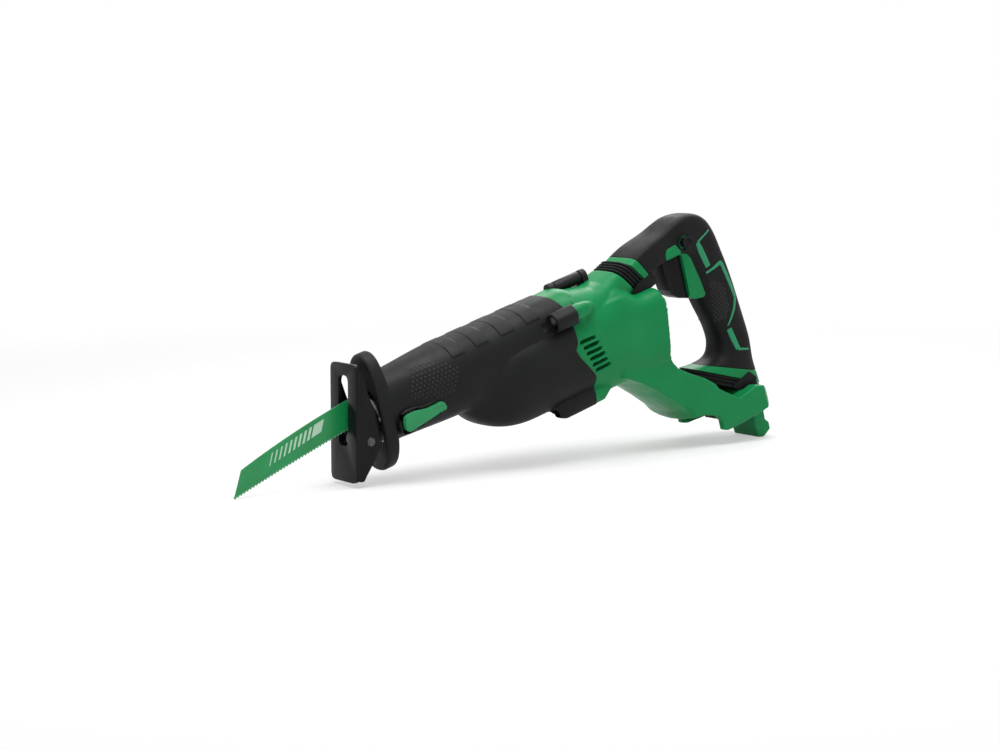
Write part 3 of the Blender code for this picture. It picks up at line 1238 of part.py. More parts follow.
def make_housing():
    added, cut = shell_tools()
    lips = []
    for name, y in (("left", -1), ("right", 1)):
        points = [(RAIL_FRONT + 0.003, RAIL_Z + 0.003), (BAY_REAR + 0.001, RAIL_Z - 0.002),
                  (BAY_REAR + 0.001, RAIL_Z - 0.0042), (RAIL_FRONT + 0.003, RAIL_Z - 0.0003)]
        near, far = sorted((y * (BAY_HALF_WIDTH - RAIL_LIP), y * (BAY_HALF_WIDTH + 0.002)))
        lips.append(outline("rail_lip_" + name, points, near, far))
    clear = outline("housing_seam", seam(GAP / 2, SEAM_MID_X - 0.05), -0.08, 0.08)
    for name, y in (("left", -1), ("right", 1)):
        places = steps_between(SEAM_MID_X - 0.006, STUB_REAR - STUB_STEP, 5)
        places += steps_between(STUB_REAR - STUB_STEP * 0.7, STUB_REAR, 2)
        places.append(HOUSING_REAR - REAR_ROUNDING)
        rings = [motor_ring(x, 0.0) for x in places]
        rings.append(motor_ring(HOUSING_REAR - REAR_ROUNDING * 0.3, REAR_ROUNDING * 0.35))
        rings.append(motor_ring(HOUSING_REAR, REAR_ROUNDING))
        half = skin("housing_" + name, rings)
        unite(half, *[piece for piece in added if piece.name.startswith("housing_boss")])
        subtract(half, clear)
        unite(half, *[piece for piece in added if not piece.name.startswith("housing_boss")])
        subtract(half, *cut)
        unite(half, *lips)
        keep_side(half, y)
        finish(half, GREEN, 0.45, 0.0)
    pin = rod("handle_pivot_pin", PIVOT_RADIUS, (PIVOT_X, -pivot_reach(), PIVOT_Z),
              (PIVOT_X, pivot_reach(), PIVOT_Z))
    finish(pin, STEEL, 0.3, 1.0)


def keep_side(half, y):
    # Keep the left (y = -1) or the right (y = 1) half of a moulding split at the middle.
    name = "side_left" if y < 0 else "side_right"
    if name not in bpy.data.objects:
        near, far = sorted((y * GAP / 2, y * 0.2))
        as_tool(box(name, (-0.5, near, -0.5), (0.8, far, 0.5)))
    combine(half, "INTERSECT", [bpy.data.objects[name]])


def make_electrics():
    # Controller in the neck, and the contact block that hangs in the battery bay.
    left = board_front() + RUN
    right = BOARD_REAR - RUN
    floor = bay_ceiling(left) + WALL + RUN
    board = box("control_board", (left, -BAY_HALF_WIDTH + 0.002 + RUN, floor),
                (right, BAY_HALF_WIDTH - 0.002 - RUN, floor + BOARD_HEIGHT))
    finish(board, (0.02, 0.05, 0.03), 0.5, 0.0)
    front, rear = BAY_REAR - 0.024, BAY_REAR - GAP
    block_top = bay_ceiling(rear) - GAP
    block = outline("terminal_block", [
        (front, bay_ceiling(front) - GAP), (rear, block_top), (rear, block_top - 0.014),
        (front, block_top - 0.014)],
        -BAY_HALF_WIDTH * 0.75, BAY_HALF_WIDTH * 0.75)
    middle = block_top - 0.009
    for i, y in enumerate((-0.013, 0.0, 0.013)):
        low, high = (front - 0.012, y - 0.0006, middle - 0.0035), (front + 0.012, y + 0.0006,
                                                                   middle + 0.0035)
        grow = Vector((GAP, GAP, GAP))
        subtract(block, box("contact_slot_%d" % i, Vector(low) - grow, Vector(high) + grow))
        finish(box("contact_blade_%d" % (i + 1), low, high), BRONZE, 0.3, 1.0)
    finish(block, BLACK, 0.5, 0.0)


# Rafter hook

def make_hook():
    inset = HOOK_EAR + RUN
    x0, x1 = HOOK_FRONT + inset, HOOK_FRONT + HOOK_LENGTH - inset
    knuckle = rod("rafter_hook", HOOK_RADIUS, (x0, HOOK_Y, HOOK_Z), (x1, HOOK_Y, HOOK_Z), SMALL_SIDES)
    top = HOOK_Z + HOOK_RADIUS - 0.0005
    under = top - HOOK_PLATE
    bend = 0.010
    out = HOOK_OUT
    arm = [(HOOK_Y, top)] + arc((out - bend, top - bend), bend, 90, 0, 5)
    arm += [(out, top - HOOK_DOWN), (out - HOOK_PLATE, top - HOOK_DOWN)]
    arm += arc((out - bend, top - bend), bend - HOOK_PLATE, 0, 90, 4)
    arm.append((HOOK_Y, under))
    unite(knuckle, outline("hook_arm", arm, x1 - HOOK_WIDTH - 0.002, x1 - 0.002, "x"))
    subtract(knuckle, rod("hook_bore", HOOK_PIN_RADIUS + 0.0001, (x0 - 0.01, HOOK_Y, HOOK_Z),
                          (x1 + 0.01, HOOK_Y, HOOK_Z), SMALL_SIDES))
    finish(knuckle, BLACK, 0.4, 0.8, HOOK_AXIS)
    pin = rod("hook_pin", HOOK_PIN_RADIUS, (HOOK_FRONT + 0.0005, HOOK_Y, HOOK_Z),
              (HOOK_FRONT + HOOK_LENGTH - 0.0005, HOOK_Y, HOOK_Z), SMALL_SIDES)
    finish(pin, STEEL, 0.35, 1.0)


# Floating handle: stations along its centre line, from the arm to the heel
# Each is x, z, heading in degrees, half depth and half width.

HANDLE = [
    (ARM_X, ARM_Z, math.degrees(ARM_RAKE), ARM_HALF_HEIGHT, ARM_HALF_WIDTH),
    (0.367, 0.0275, 20, 0.0150, 0.0215),
    (0.390, 0.0315, 6, 0.0158, 0.0195),
    (0.416, 0.0325, -10, 0.0195, 0.0185),
    (0.4355, 0.0222, -48, 0.0245, 0.0175),
    (0.439, -0.0055, -76, 0.022, 0.0165),
    (0.4453, -0.0338, -79, 0.0203, 0.0165),
    (0.450, -0.066, -81, 0.0205, 0.017),
    (0.4485, -0.0925, -98, 0.0235, 0.019),
    (HEEL_X, HEEL_Z, math.degrees(JOINT_SLOPE) - 90, HEEL_HALF_LENGTH, HEEL_HALF_WIDTH),
]


def handle_ring(place, inset, sides=16):
    # Section at a fractional station, on a smooth curve through the stations.
    last = len(HANDLE) - 1
    i = min(int(place), last - 1)
    t = place - i
    a, b = HANDLE[i], HANDLE[i + 1]
    before, after = HANDLE[max(i - 1, 0)], HANDLE[min(i + 2, last)]
    values = []
    for k in range(5):
        slope_a, slope_b = (b[k] - before[k]) / 2, (after[k] - a[k]) / 2
        values.append((2 * t ** 3 - 3 * t ** 2 + 1) * a[k] + (t ** 3 - 2 * t ** 2 + t) * slope_a
                      + (3 * t ** 2 - 2 * t ** 3) * b[k] + (t ** 3 - t ** 2) * slope_b)
    x, z, heading, depth, width = values
    return oval(x, z, width - inset, depth - inset, 2.4, math.radians(heading), sides=sides)


def handle_loft(name, start, end, inset, count):
    return skin(name, [handle_ring(place, inset) for place in steps_between(start, end, count)], split=True)


SKIN_START = 0.45
SKIN_END = 8.62
GRIP_STEPS = 14


def bezel_outline(grow):
    rear = BEZEL_REAR + grow
    return [(BEZEL_FRONT - grow, BEZEL_LOW + 0.012 - grow), (BEZEL_FRONT - grow, BEZEL_HIGH + grow),
            (rear, BEZEL_HIGH + grow), (rear, BEZEL_LOW - grow),
            (BEZEL_FRONT + 0.012 - grow, BEZEL_LOW - grow)]


def trigger_outline(grow, travel):
    # The finger side is a hollow curve; a grown outline is the straight slot that it runs in.
    top, low = TRIGGER_TOP + grow, TRIGGER_LOW - grow
    rear = TRIGGER_REAR + travel
    if grow:
        return [(TRIGGER_FRONT - 0.02, top), (TRIGGER_FRONT - 0.02, low), (rear, low), (rear, top)]
    points = [(TRIGGER_FRONT + 0.008, top)]
    for share, hollow in ((0.12, 0.0015), (0.35, 0.0), (0.62, 0.0008), (0.82, 0.004), (0.93, 0.010)):
        points.append((TRIGGER_FRONT + hollow, mix(top, low, share)))
    return points + [(TRIGGER_FRONT + 0.020, low), (rear, low), (rear, top)]


def make_handle():
    bezel = outline("bezel", bezel_outline(0.0), -TRIGGER_HALF_WIDTH - BEZEL_WALL,
                    TRIGGER_HALF_WIDTH + BEZEL_WALL)
    bezel_space = outline("bezel_space", bezel_outline(GAP), -TRIGGER_HALF_WIDTH - BEZEL_WALL - GAP,
                          TRIGGER_HALF_WIDTH + BEZEL_WALL + GAP)
    slot = outline("trigger_slot", trigger_outline(RUN, TRIGGER_TRAVEL + RUN), -TRIGGER_HALF_WIDTH - RUN,
                   TRIGGER_HALF_WIDTH + RUN)
    hollow = handle_loft("handle_hollow", 0.7, 7.6, GRIP_SKIN + WALL, 8)
    tongue = outline("tongue", [(PIVOT_X - 0.004, HEEL_Z + 0.018), (PIVOT_X + 0.016, HEEL_Z + 0.018)]
                     + arc((PIVOT_X, PIVOT_Z), 0.0085, 0, -180, 8), -TONGUE_HALF_WIDTH, TONGUE_HALF_WIDTH)
    lock_hole = rod("lock_hole", LOCK_RADIUS + 0.0002, (LOCK_X, -0.05, LOCK_Z), (LOCK_X, 0.05, LOCK_Z),
                    SMALL_SIDES)
    pin_hole = rod("tongue_hole", PIVOT_RADIUS + 0.0001, (PIVOT_X, -0.05, PIVOT_Z), (PIVOT_X, 0.05, PIVOT_Z))
    places = steps_between(SKIN_START, SKIN_END, GRIP_STEPS)
    beyond = [SKIN_START - 0.2] + places + [SKIN_END + 0.2]
    skin_hole = skin("grip_inside", [handle_ring(place, GRIP_SKIN) for place in beyond], split=True)
    waist = [handle_ring(place, GRIP_SKIN + GAP) for place in places]
    inner = [SKIN_START + 0.01] + places[1:-1] + [SKIN_END - 0.01]
    for name, y in (("left", -1), ("right", 1)):
        rings = [handle_ring(place, 0.0) for place in steps_between(0.0, SKIN_START - 0.01, 2)]
        rings += waist
        rings += [handle_ring(place, 0.0) for place in steps_between(SKIN_END + 0.01, len(HANDLE) - 1, 2)]
        half = skin("handle_" + name, rings, split=True)
        unite(half, bezel, tongue)
        subtract(half, hollow)
        near, far = sorted((y * (SWITCH_HALF_WIDTH + GAP), y * (HANDLE[5][4] - GRIP_SKIN - WALL / 2)))
        unite(half, box("switch_rib_" + name, (SWITCH_FRONT + 0.002, near, SWITCH_LOW + 0.004),
                        (SWITCH_FRONT + SWITCH_LENGTH - 0.002, far, SWITCH_HIGH - 0.004)))
        subtract(half, slot, lock_hole, pin_hole)
        keep_side(half, y)
        finish(half, GREEN, 0.45, 0.0, HANDLE_AXIS)
        grip = skin("grip_" + name, [handle_ring(place, 0.0) for place in inner], split=True)
        subtract(grip, skin_hole, bezel_space, lock_hole)
        keep_side(grip, y)
        finish(grip, BLACK, 0.6, 0.0, HANDLE_AXIS)


def make_switch():
    body = box("switch_unit", (SWITCH_FRONT, -SWITCH_HALF_WIDTH, SWITCH_LOW),
               (SWITCH_FRONT + SWITCH_LENGTH, SWITCH_HALF_WIDTH, SWITCH_HIGH))
    finish(body, BLACK, 0.5, 0.0, HANDLE_AXIS)
    trigger = outline("trigger", trigger_outline(0.0, 0.0), -TRIGGER_HALF_WIDTH, TRIGGER_HALF_WIDTH)
    edge = trigger.modifiers.new("edge", "BEVEL")
    edge.width = 0.0012
    edge.segments = 2
    edge.limit_method = "ANGLE"
    edge.angle_limit = math.radians(50)
    finish(trigger, BLACK, 0.5, 0.0, TRIGGER_AXIS)
    wire = 0.0005
    spring = coil("trigger_spring", (TRIGGER_REAR + wire + GAP, 0, -0.012),
                  (SWITCH_FRONT - wire - GAP, 0, -0.012),
                  0.003, wire, 4)
    finish(spring, STEEL, 0.3, 1.0, HANDLE_AXIS)
    reach = HANDLE[3][4] + 0.001
    button = rod("lock_button", LOCK_RADIUS, (LOCK_X, -reach - LOCK_TRAVEL, LOCK_Z),
                 (LOCK_X, reach - 0.001, LOCK_Z), SMALL_SIDES)
    finish(button, BLACK, 0.45, 0.0, LOCK_AXIS)


def bellows(name, section, ribs, depth, wall):
    # A corrugated tube: the outside runs in and out, the inside follows a wall's thickness in.
    outside, inside = [], []
    count = 2 * ribs
    for i in range(count + 1):
        fold = depth if i % 2 else 0.0
        outside.append(section(i / count, fold))
        inside.append(section(i / count, fold + wall))
    return skin(name, outside + inside[::-1], closed=True)


def make_bellows():
    # Upper: from the housing's stub to the arm. Lower: from the heel to the battery base.
    along = Vector((math.cos(ARM_RAKE), 0.0, math.sin(ARM_RAKE)))
    start = Vector((STUB_X, 0.0, STUB_Z)) + along * GAP
    end = Vector((ARM_X, 0.0, ARM_Z)) - along * GAP

    def upper(share, inset):
        centre = start.lerp(end, share)
        height = mix(STUB_HALF_HEIGHT, ARM_HALF_HEIGHT, share)
        return oval(centre.x, centre.z, ARM_HALF_WIDTH - inset, height - inset, heading=ARM_RAKE,
                    sides=BELLOWS_SIDES)

    def lower(share, inset):
        drop = mix(GAP, LOWER_BELLOWS_HEIGHT - GAP, share)
        centre = Vector((HEEL_X, 0, HEEL_Z)) + HEEL_NORMAL * drop
        return oval(centre.x, centre.z, HEEL_HALF_WIDTH - inset, HEEL_HALF_LENGTH - inset,
                    heading=JOINT_SLOPE - math.pi / 2, sides=BELLOWS_SIDES)

    finish(bellows("upper_bellows", upper, 4, 0.0025, 0.002), BLACK, 0.6, 0.0)
    finish(bellows("lower_bellows", lower, 3, 0.0025, 0.002), BLACK, 0.6, 0.0)
    wire = 0.001
    first = start + along * wire
    spring = coil("damper_spring", first, first + along * ((end - start).dot(along) - 2 * wire), 0.006,
                  wire, 3, 8)
    finish(spring, STEEL, 0.3, 1.0)


make_front_cover()
make_case_bolts()
FRONT_SEAT = make_gear_case()
make_gear_case_cover()
make_wobble_drive(*FRONT_SEAT)
make_wobble_ring()
make_plunger()
make_blade_clamp()
make_blade()
make_shoe(make_shoe_post())
make_blade_lever()
make_pinion_and_fan(*make_motor())
make_housing()
make_electrics()
make_hook()
make_handle()
make_switch()
make_bellows()
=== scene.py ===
import json
import math

import bmesh
import bpy
import numpy as np
from mathutils import Matrix, Vector
from mathutils.bvhtree import BVHTree

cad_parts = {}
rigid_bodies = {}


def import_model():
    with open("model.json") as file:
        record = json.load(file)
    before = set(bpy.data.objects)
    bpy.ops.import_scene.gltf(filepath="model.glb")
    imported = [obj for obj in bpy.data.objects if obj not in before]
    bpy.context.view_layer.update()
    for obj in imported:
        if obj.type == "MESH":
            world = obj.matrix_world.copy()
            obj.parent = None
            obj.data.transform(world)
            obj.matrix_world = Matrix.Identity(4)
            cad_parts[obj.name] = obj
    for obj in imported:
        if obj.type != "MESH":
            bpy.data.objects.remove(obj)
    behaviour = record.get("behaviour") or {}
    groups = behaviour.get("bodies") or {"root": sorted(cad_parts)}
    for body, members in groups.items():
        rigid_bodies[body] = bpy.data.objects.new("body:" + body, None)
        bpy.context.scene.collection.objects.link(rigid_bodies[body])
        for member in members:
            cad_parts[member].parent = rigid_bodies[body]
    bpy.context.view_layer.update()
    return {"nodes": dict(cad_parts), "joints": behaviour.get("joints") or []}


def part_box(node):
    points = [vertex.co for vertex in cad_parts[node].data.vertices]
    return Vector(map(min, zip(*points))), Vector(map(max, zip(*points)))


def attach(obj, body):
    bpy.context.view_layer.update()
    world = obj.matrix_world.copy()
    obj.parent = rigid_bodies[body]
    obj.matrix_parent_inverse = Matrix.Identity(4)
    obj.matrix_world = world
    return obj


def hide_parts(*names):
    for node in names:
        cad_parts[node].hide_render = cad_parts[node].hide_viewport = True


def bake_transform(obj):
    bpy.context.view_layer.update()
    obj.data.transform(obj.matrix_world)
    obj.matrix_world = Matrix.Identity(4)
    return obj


for old in list(bpy.data.objects):  # start from an empty scene
    bpy.data.objects.remove(old, do_unlink=True)

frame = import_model()
joints = {joint["name"]: joint for joint in frame["joints"]}
print("frame loaded:", len(frame["nodes"]), "nodes")

# The saw's own axes: x to the rear along the plunger, y to the right, z up from the plunger.
mm = 0.001
holderFront = 41.0
strokeAxis = Vector(joints["plunger_stroke"]["axis"]).normalized()
if strokeAxis.x < 0:
    strokeAxis = -strokeAxis
sideAxis = Vector((0.0, 1.0, 0.0))
riseAxis = strokeAxis.cross(sideAxis)
toolFrame = Matrix((strokeAxis, sideAxis, riseAxis)).transposed().to_4x4()
toolFrame.translation = Vector(joints["clamp_sleeve_turn"]["pos_m"]) - strokeAxis * holderFront * mm
drawing = toolFrame @ Matrix.Diagonal((mm, mm, mm, 1.0))  # pieces are drawn in millimetres


# Shape helpers

def ease(x, start, end):
    t = np.clip((np.asarray(x, float) - start) / (end - start), 0.0, 1.0)
    return t * t * (3 - 2 * t)


def mix(a, b, t):
    return a + (b - a) * t


def showObject(name, data):
    made = bpy.data.objects.new(name, data)
    bpy.context.scene.collection.objects.link(made)
    return made


def addSolid(name, verts, faces):
    mesh = bpy.data.meshes.new(name)
    mesh.from_pydata(np.asarray(verts, float).reshape(-1, 3).tolist(), [], faces)
    work = bmesh.new()
    work.from_mesh(mesh)
    bmesh.ops.remove_doubles(work, verts=work.verts, dist=0.002)
    bmesh.ops.recalc_face_normals(work, faces=work.faces)
    work.to_mesh(mesh)
    work.free()
    return showObject(name, mesh)


def loft(name, rings, closed=False):
    rings = np.asarray(rings, float)
    count, around = rings.shape[:2]
    faces = []
    for i in range(count if closed else count - 1):
        a, b = i * around, (i + 1) % count * around
        faces += [(a + k, a + (k + 1) % around, b + (k + 1) % around, b + k) for k in range(around)]
    if not closed:
        faces.append(tuple(range(around - 1, -1, -1)))
        faces.append(tuple(range((count - 1) * around, count * around)))
    return addSolid(name, rings, faces)


def rounded(points, radius, steps=5):
    # A flat outline with its corners rounded off.
    result = []
    for i, corner in enumerate(points):
        corner = np.array(corner, float)
        before = np.array(points[i - 1], float) - corner
        after = np.array(points[(i + 1) % len(points)], float) - corner
        longBefore, longAfter = np.hypot(*before), np.hypot(*after)
        turn = math.acos(float(np.clip(before @ after / (longBefore * longAfter), -1.0, 1.0)))
        reach = min(radius / max(math.tan(turn / 2), 0.02), longBefore * 0.48, longAfter * 0.48)
        start, end = corner + before / longBefore * reach, corner + after / longAfter * reach
        if turn > 3.0:
            result.append(tuple(corner))
            continue
        for k in range(steps + 1):
            t = k / steps
            result.append(tuple(mix(mix(start, corner, t), mix(corner, end, t), t)))
    return result


axisPlace = {"y": lambda p, d: (p[0], d, p[1]), "x": lambda p, d: (d, p[0], p[1]),
             "z": lambda p, d: (p[0], p[1], d)}


def slab(name, points, low, high, axis="y", edge=0.0, segments=3):
    # An outline in x and z (or y and z, or x and y) with thickness along the named axis.
    solid = loft(name, [[axisPlace[axis](p, d) for p in points] for d in (low, high)])
    if edge:
        roundEdges(solid, edge, segments)
    return solid


def mirrored(name, points, near, far, **options):
    # The same slab on the left and on the right.
    return [slab(name, points, *sorted((side * near, side * far)), **options) for side in (-1, 1)]


def oval(x, z, wide, tall=None, count=40, turn=None):
    # A flat outline, round without a second size; with a turn it is an open arc.
    angles = np.linspace(0, turn, count) if turn else np.linspace(0, 2 * math.pi, count, endpoint=False)
    return [(x + wide * math.cos(a), z + (tall or wide) * math.sin(a)) for a in angles]


def turned(name, x, z, profile, axis="y", count=40):
    # Round rings of changing size along the named axis.
    return loft(name, [[axisPlace[axis](p, d) for p in oval(x, z, size, count=count)] for d, size in profile])


def ovalRing(x, z, halfWidth, halfHeight, power=2.4, heading=0.0, taper=0.0, around=96, top=1.0, y=0.0):
    # A rounded section across the heading; top scales its upper half.
    angle = 2 * math.pi * (np.arange(around) + 0.5) / around
    c, s = np.cos(angle), np.sin(angle)
    across = halfWidth * np.sign(c) * np.abs(c) ** (2 / power)
    up = np.sign(s) * np.abs(s) ** (2 / power)
    across = across * (1 - taper * up)
    up = up * halfHeight * np.where(up > 0, top, 1.0)
    return np.stack([x - up * math.sin(heading), y + across, z + up * math.cos(heading)], -1)


def bake(solid):
    graph = bpy.context.evaluated_depsgraph_get()
    mesh = bpy.data.meshes.new_from_object(solid.evaluated_get(graph))
    old = solid.data
    solid.modifiers.clear()
    solid.data = mesh
    bpy.data.meshes.remove(old)
    return solid


def roundEdges(solid, width, segments=3, angle=30.0):
    edge = solid.modifiers.new("edge", "BEVEL")
    edge.width = width
    edge.segments = segments
    edge.limit_method = "ANGLE"
    edge.angle_limit = math.radians(angle)
    return bake(solid)


def combine(solid, others, operation):
    for other in others:
        change = solid.modifiers.new(operation, "BOOLEAN")
        change.operation = operation
        change.solver = "MANIFOLD"
        change.object = other
    bake(solid)
    for other in others:
        bpy.data.objects.remove(other, do_unlink=True)
    return solid


def join(solid, *others):
    return combine(solid, others, "UNION")


def cut(solid, *others):
    return combine(solid, others, "DIFFERENCE")


def soften(solid, voxel, rounds):
    grid = solid.modifiers.new("grid", "REMESH")
    grid.mode = "VOXEL"
    grid.voxel_size = voxel
    soft = solid.modifiers.new("soft", "SMOOTH")
    soft.factor = 0.5
    soft.iterations = rounds
    return bake(solid)


def together(name, solids):
    # Several closed shells as one mesh.
    work = bmesh.new()
    for solid in solids:
        work.from_mesh(solid.data)
        bpy.data.objects.remove(solid, do_unlink=True)
    mesh = bpy.data.meshes.new(name)
    work.to_mesh(mesh)
    work.free()
    return showObject(name, mesh)


def surfaceTree(solid):
    work = bmesh.new()
    work.from_mesh(solid.data)
    tree = BVHTree.FromBMesh(work)
    work.free()
    return tree


def finishPiece(solid, finishName, body, nodes=(), sharp=32.0):
    mesh = solid.data
    mesh.transform(drawing)
    mesh.materials.clear()
    mesh.materials.append(finish[finishName])
    mesh.shade_smooth()
    mesh.set_sharp_from_angle(angle=math.radians(sharp))
    if body:
        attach(solid, body)
    if nodes:
        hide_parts(*nodes)
    return solid


# Finishes

def addNode(tree, kind, inputs=None, **settings):
    # An input takes a value or another node's output.
    node = tree.nodes.new(kind)
    for name, value in settings.items():
        setattr(node, name, value)
    for key, value in (inputs or {}).items():
        if isinstance(value, bpy.types.NodeSocket):
            tree.links.new(value, node.inputs[key])
        else:
            node.inputs[key].default_value = value
    return node


def newFinish(name):
    material = bpy.data.materials.new(name)
    material.use_nodes = True
    return material, material.node_tree, material.node_tree.nodes["Principled BSDF"]


moulded = {"patchScale": 30.0, "patchDetail": 4.0, "patchStops": (0.3, 0.72), "grainDetail": 3.0,
           "roughSpread": 0.06, "scuffScale": 18.0, "scuffDetail": 8.0, "scuffRough": 0.7,
           "scuffRange": (0.42, 0.68), "reliefDepth": 0.0002}


def mouldedFinish(name, dark, light, rough, grainScale=1500.0, grain=0.12, metallic=0.0,
                  stretch=(1.0, 1.0, 1.0), gloss=0.5, wear=0.10):
    material, tree, shader = newFinish(name)
    place = addNode(tree, "ShaderNodeTexCoord").outputs["Object"]
    place = addNode(tree, "ShaderNodeMapping", {"Vector": place, "Scale": stretch}).outputs["Vector"]
    patch = addNode(tree, "ShaderNodeTexNoise", {
        "Vector": place, "Scale": moulded["patchScale"], "Detail": moulded["patchDetail"]})
    ramp = addNode(tree, "ShaderNodeValToRGB", {"Fac": patch.outputs["Fac"]})
    for stop, position, tone in zip(ramp.color_ramp.elements, moulded["patchStops"], (dark, light)):
        stop.position, stop.color = position, (*tone, 1.0)
    fine = addNode(tree, "ShaderNodeTexNoise", {
        "Vector": place, "Scale": grainScale, "Detail": moulded["grainDetail"]})
    sheen = addNode(tree, "ShaderNodeMapRange", {
        "Value": fine.outputs["Fac"], "To Min": rough - moulded["roughSpread"],
        "To Max": rough + moulded["roughSpread"]})
    scuff = addNode(tree, "ShaderNodeTexNoise", {  # handled patches are a little smoother
        "Vector": place, "Scale": moulded["scuffScale"], "Detail": moulded["scuffDetail"],
        "Roughness": moulded["scuffRough"]})
    handled = addNode(tree, "ShaderNodeMapRange", {
        "Value": scuff.outputs["Fac"], "From Min": moulded["scuffRange"][0],
        "From Max": moulded["scuffRange"][1], "To Min": wear, "To Max": -wear})
    worn = addNode(tree, "ShaderNodeMath", {0: sheen.outputs["Result"], 1: handled.outputs["Result"]})
    relief = addNode(tree, "ShaderNodeBump", {
        "Height": fine.outputs["Fac"], "Strength": grain, "Distance": moulded["reliefDepth"]})
    for label, made in (("Base Color", ramp.outputs["Color"]), ("Roughness", worn.outputs["Value"]),
                        ("Normal", relief.outputs["Normal"])):
        tree.links.new(made, shader.inputs[label])
    shader.inputs["Metallic"].default_value = metallic
    shader.inputs["Specular IOR Level"].default_value = gloss
    return material


# Dark tone, light tone, roughness, and what differs from the usual moulding.
finishSettings = {
    "coverRubber": ((0.0050, 0.0054, 0.0054), (0.0085, 0.0090, 0.0090), 0.46, {"grain": 0.25, "gloss": 0.16}),
    "gripRubber": ((0.0045, 0.0045, 0.0048), (0.0075, 0.0075, 0.0078), 0.52, {"grain": 0.3, "gloss": 0.14}),
    "greenPlastic": ((0.003, 0.196, 0.056), (0.005, 0.228, 0.070), 0.36, {"grain": 0.14, "gloss": 0.16}),
    "blackPlastic": ((0.004, 0.004, 0.005), (0.007, 0.007, 0.008), 0.42, {"gloss": 0.16}),
    "blackEnamel": ((0.0030, 0.0030, 0.0034), (0.0055, 0.0055, 0.0060), 0.22,
                    {"grainScale": 420.0, "grain": 0.03, "gloss": 0.14, "wear": 0.04}),
    "brightSteel": ((0.42, 0.43, 0.44), (0.56, 0.57, 0.58), 0.30,
                    {"metallic": 1.0, "stretch": (0.15, 1.0, 1.0), "grain": 0.1}),
    "wornSteel": ((0.05, 0.05, 0.055), (0.12, 0.12, 0.13), 0.34, {"metallic": 1.0, "grain": 0.1}),
    "castAlloy": ((0.50, 0.51, 0.52), (0.64, 0.65, 0.66), 0.45, {"metallic": 1.0, "grain": 0.3}),
    "bronze": ((0.42, 0.27, 0.10), (0.52, 0.35, 0.15), 0.38, {"metallic": 1.0}),
    "contactMetal": ((0.05, 0.045, 0.03), (0.09, 0.08, 0.05), 0.42, {"metallic": 1.0}),
    "copperWire": ((0.50, 0.20, 0.07), (0.66, 0.30, 0.13), 0.36,
                   {"metallic": 1.0, "grainScale": 700.0, "grain": 0.4}),
    "boardGreen": ((0.012, 0.040, 0.022), (0.022, 0.065, 0.036), 0.45, {}),
    "bladePaint": ((0.004, 0.22, 0.055), (0.008, 0.27, 0.075), 0.30, {"grain": 0.06}),
    "toothSteel": ((0.05, 0.28, 0.12), (0.10, 0.36, 0.18), 0.32, {"metallic": 0.5}),
    "leverPlastic": ((0.014, 0.235, 0.080), (0.020, 0.270, 0.095), 0.40, {"grain": 0.14, "gloss": 0.35}),
    "accentGreen": ((0.014, 0.235, 0.100), (0.020, 0.265, 0.118), 0.45, {"grain": 0.2, "gloss": 0.3}),
    "triggerPlastic": ((0.0028, 0.0028, 0.0032), (0.0050, 0.0050, 0.0056), 0.40, {"gloss": 0.14}),
    "hookRubber": ((0.006, 0.006, 0.007), (0.010, 0.010, 0.011), 0.42, {"grain": 0.25, "gloss": 0.2}),
    "dotRubber": ((0.003, 0.003, 0.003), (0.006, 0.006, 0.006), 0.5, {"gloss": 0.3}),
}
finish = {name: mouldedFinish(name, dark, light, rough, **options)
          for name, (dark, light, rough, options) in finishSettings.items()}

bladePrint = {"pitch": 4.6, "lean": 0.62, "climb": 0.15, "level": 6.85, "half": 4.4, "width": 0.75,
              "widening": 0.0085, "stripes": (-62.0, -18.5), "block": (-18.5, -8.6), "cover": 0.85,
              "colour": (0.50, 0.70, 0.54, 1.0)}


def stripeBlade(material):
    # Pale slanted stripes and a pale block, printed across the blade in its own directions.
    tree = material.node_tree
    shader = tree.nodes["Principled BSDF"]
    plain = shader.inputs["Base Color"].links[0].from_socket
    place = addNode(tree, "ShaderNodeTexCoord").outputs["Object"]
    own = addNode(tree, "ShaderNodeMapping", vector_type="TEXTURE", inputs={
        "Vector": place, "Location": toolFrame.translation, "Rotation": toolFrame.to_euler(),
        "Scale": (mm, mm, mm)})
    parts = addNode(tree, "ShaderNodeSeparateXYZ", {"Vector": own.outputs["Vector"]})
    x, z = parts.outputs["X"], parts.outputs["Z"]

    def work(operation, *values):
        return addNode(tree, "ShaderNodeMath", dict(enumerate(values)), operation=operation).outputs["Value"]

    def between(value, ends):
        return work("MULTIPLY", work("GREATER_THAN", value, ends[0]), work("LESS_THAN", value, ends[1]))

    along = work("MULTIPLY_ADD", z, -bladePrint["lean"], x)
    middle = work("MULTIPLY_ADD", x, bladePrint["climb"], bladePrint["level"])
    inside = work("LESS_THAN", work("ABSOLUTE", work("SUBTRACT", z, middle)), bladePrint["half"])
    phase = work("FRACT", work("DIVIDE", along, bladePrint["pitch"]))
    wide = work("MULTIPLY_ADD", along, bladePrint["widening"], bladePrint["width"])
    stripes = work("MULTIPLY", work("LESS_THAN", phase, wide), between(along, bladePrint["stripes"]))
    share = work("MULTIPLY", work("MAXIMUM", stripes, between(along, bladePrint["block"])), inside)
    paint = addNode(tree, "ShaderNodeMix", data_type="RGBA", inputs={
        "Factor": work("MULTIPLY", share, bladePrint["cover"]), "A": plain, "B": bladePrint["colour"]})
    tree.links.new(paint.outputs["Result"], shader.inputs["Base Color"])


stripeBlade(finish["bladePaint"])
print("finishes:", len(finish))


# Rubber front cover

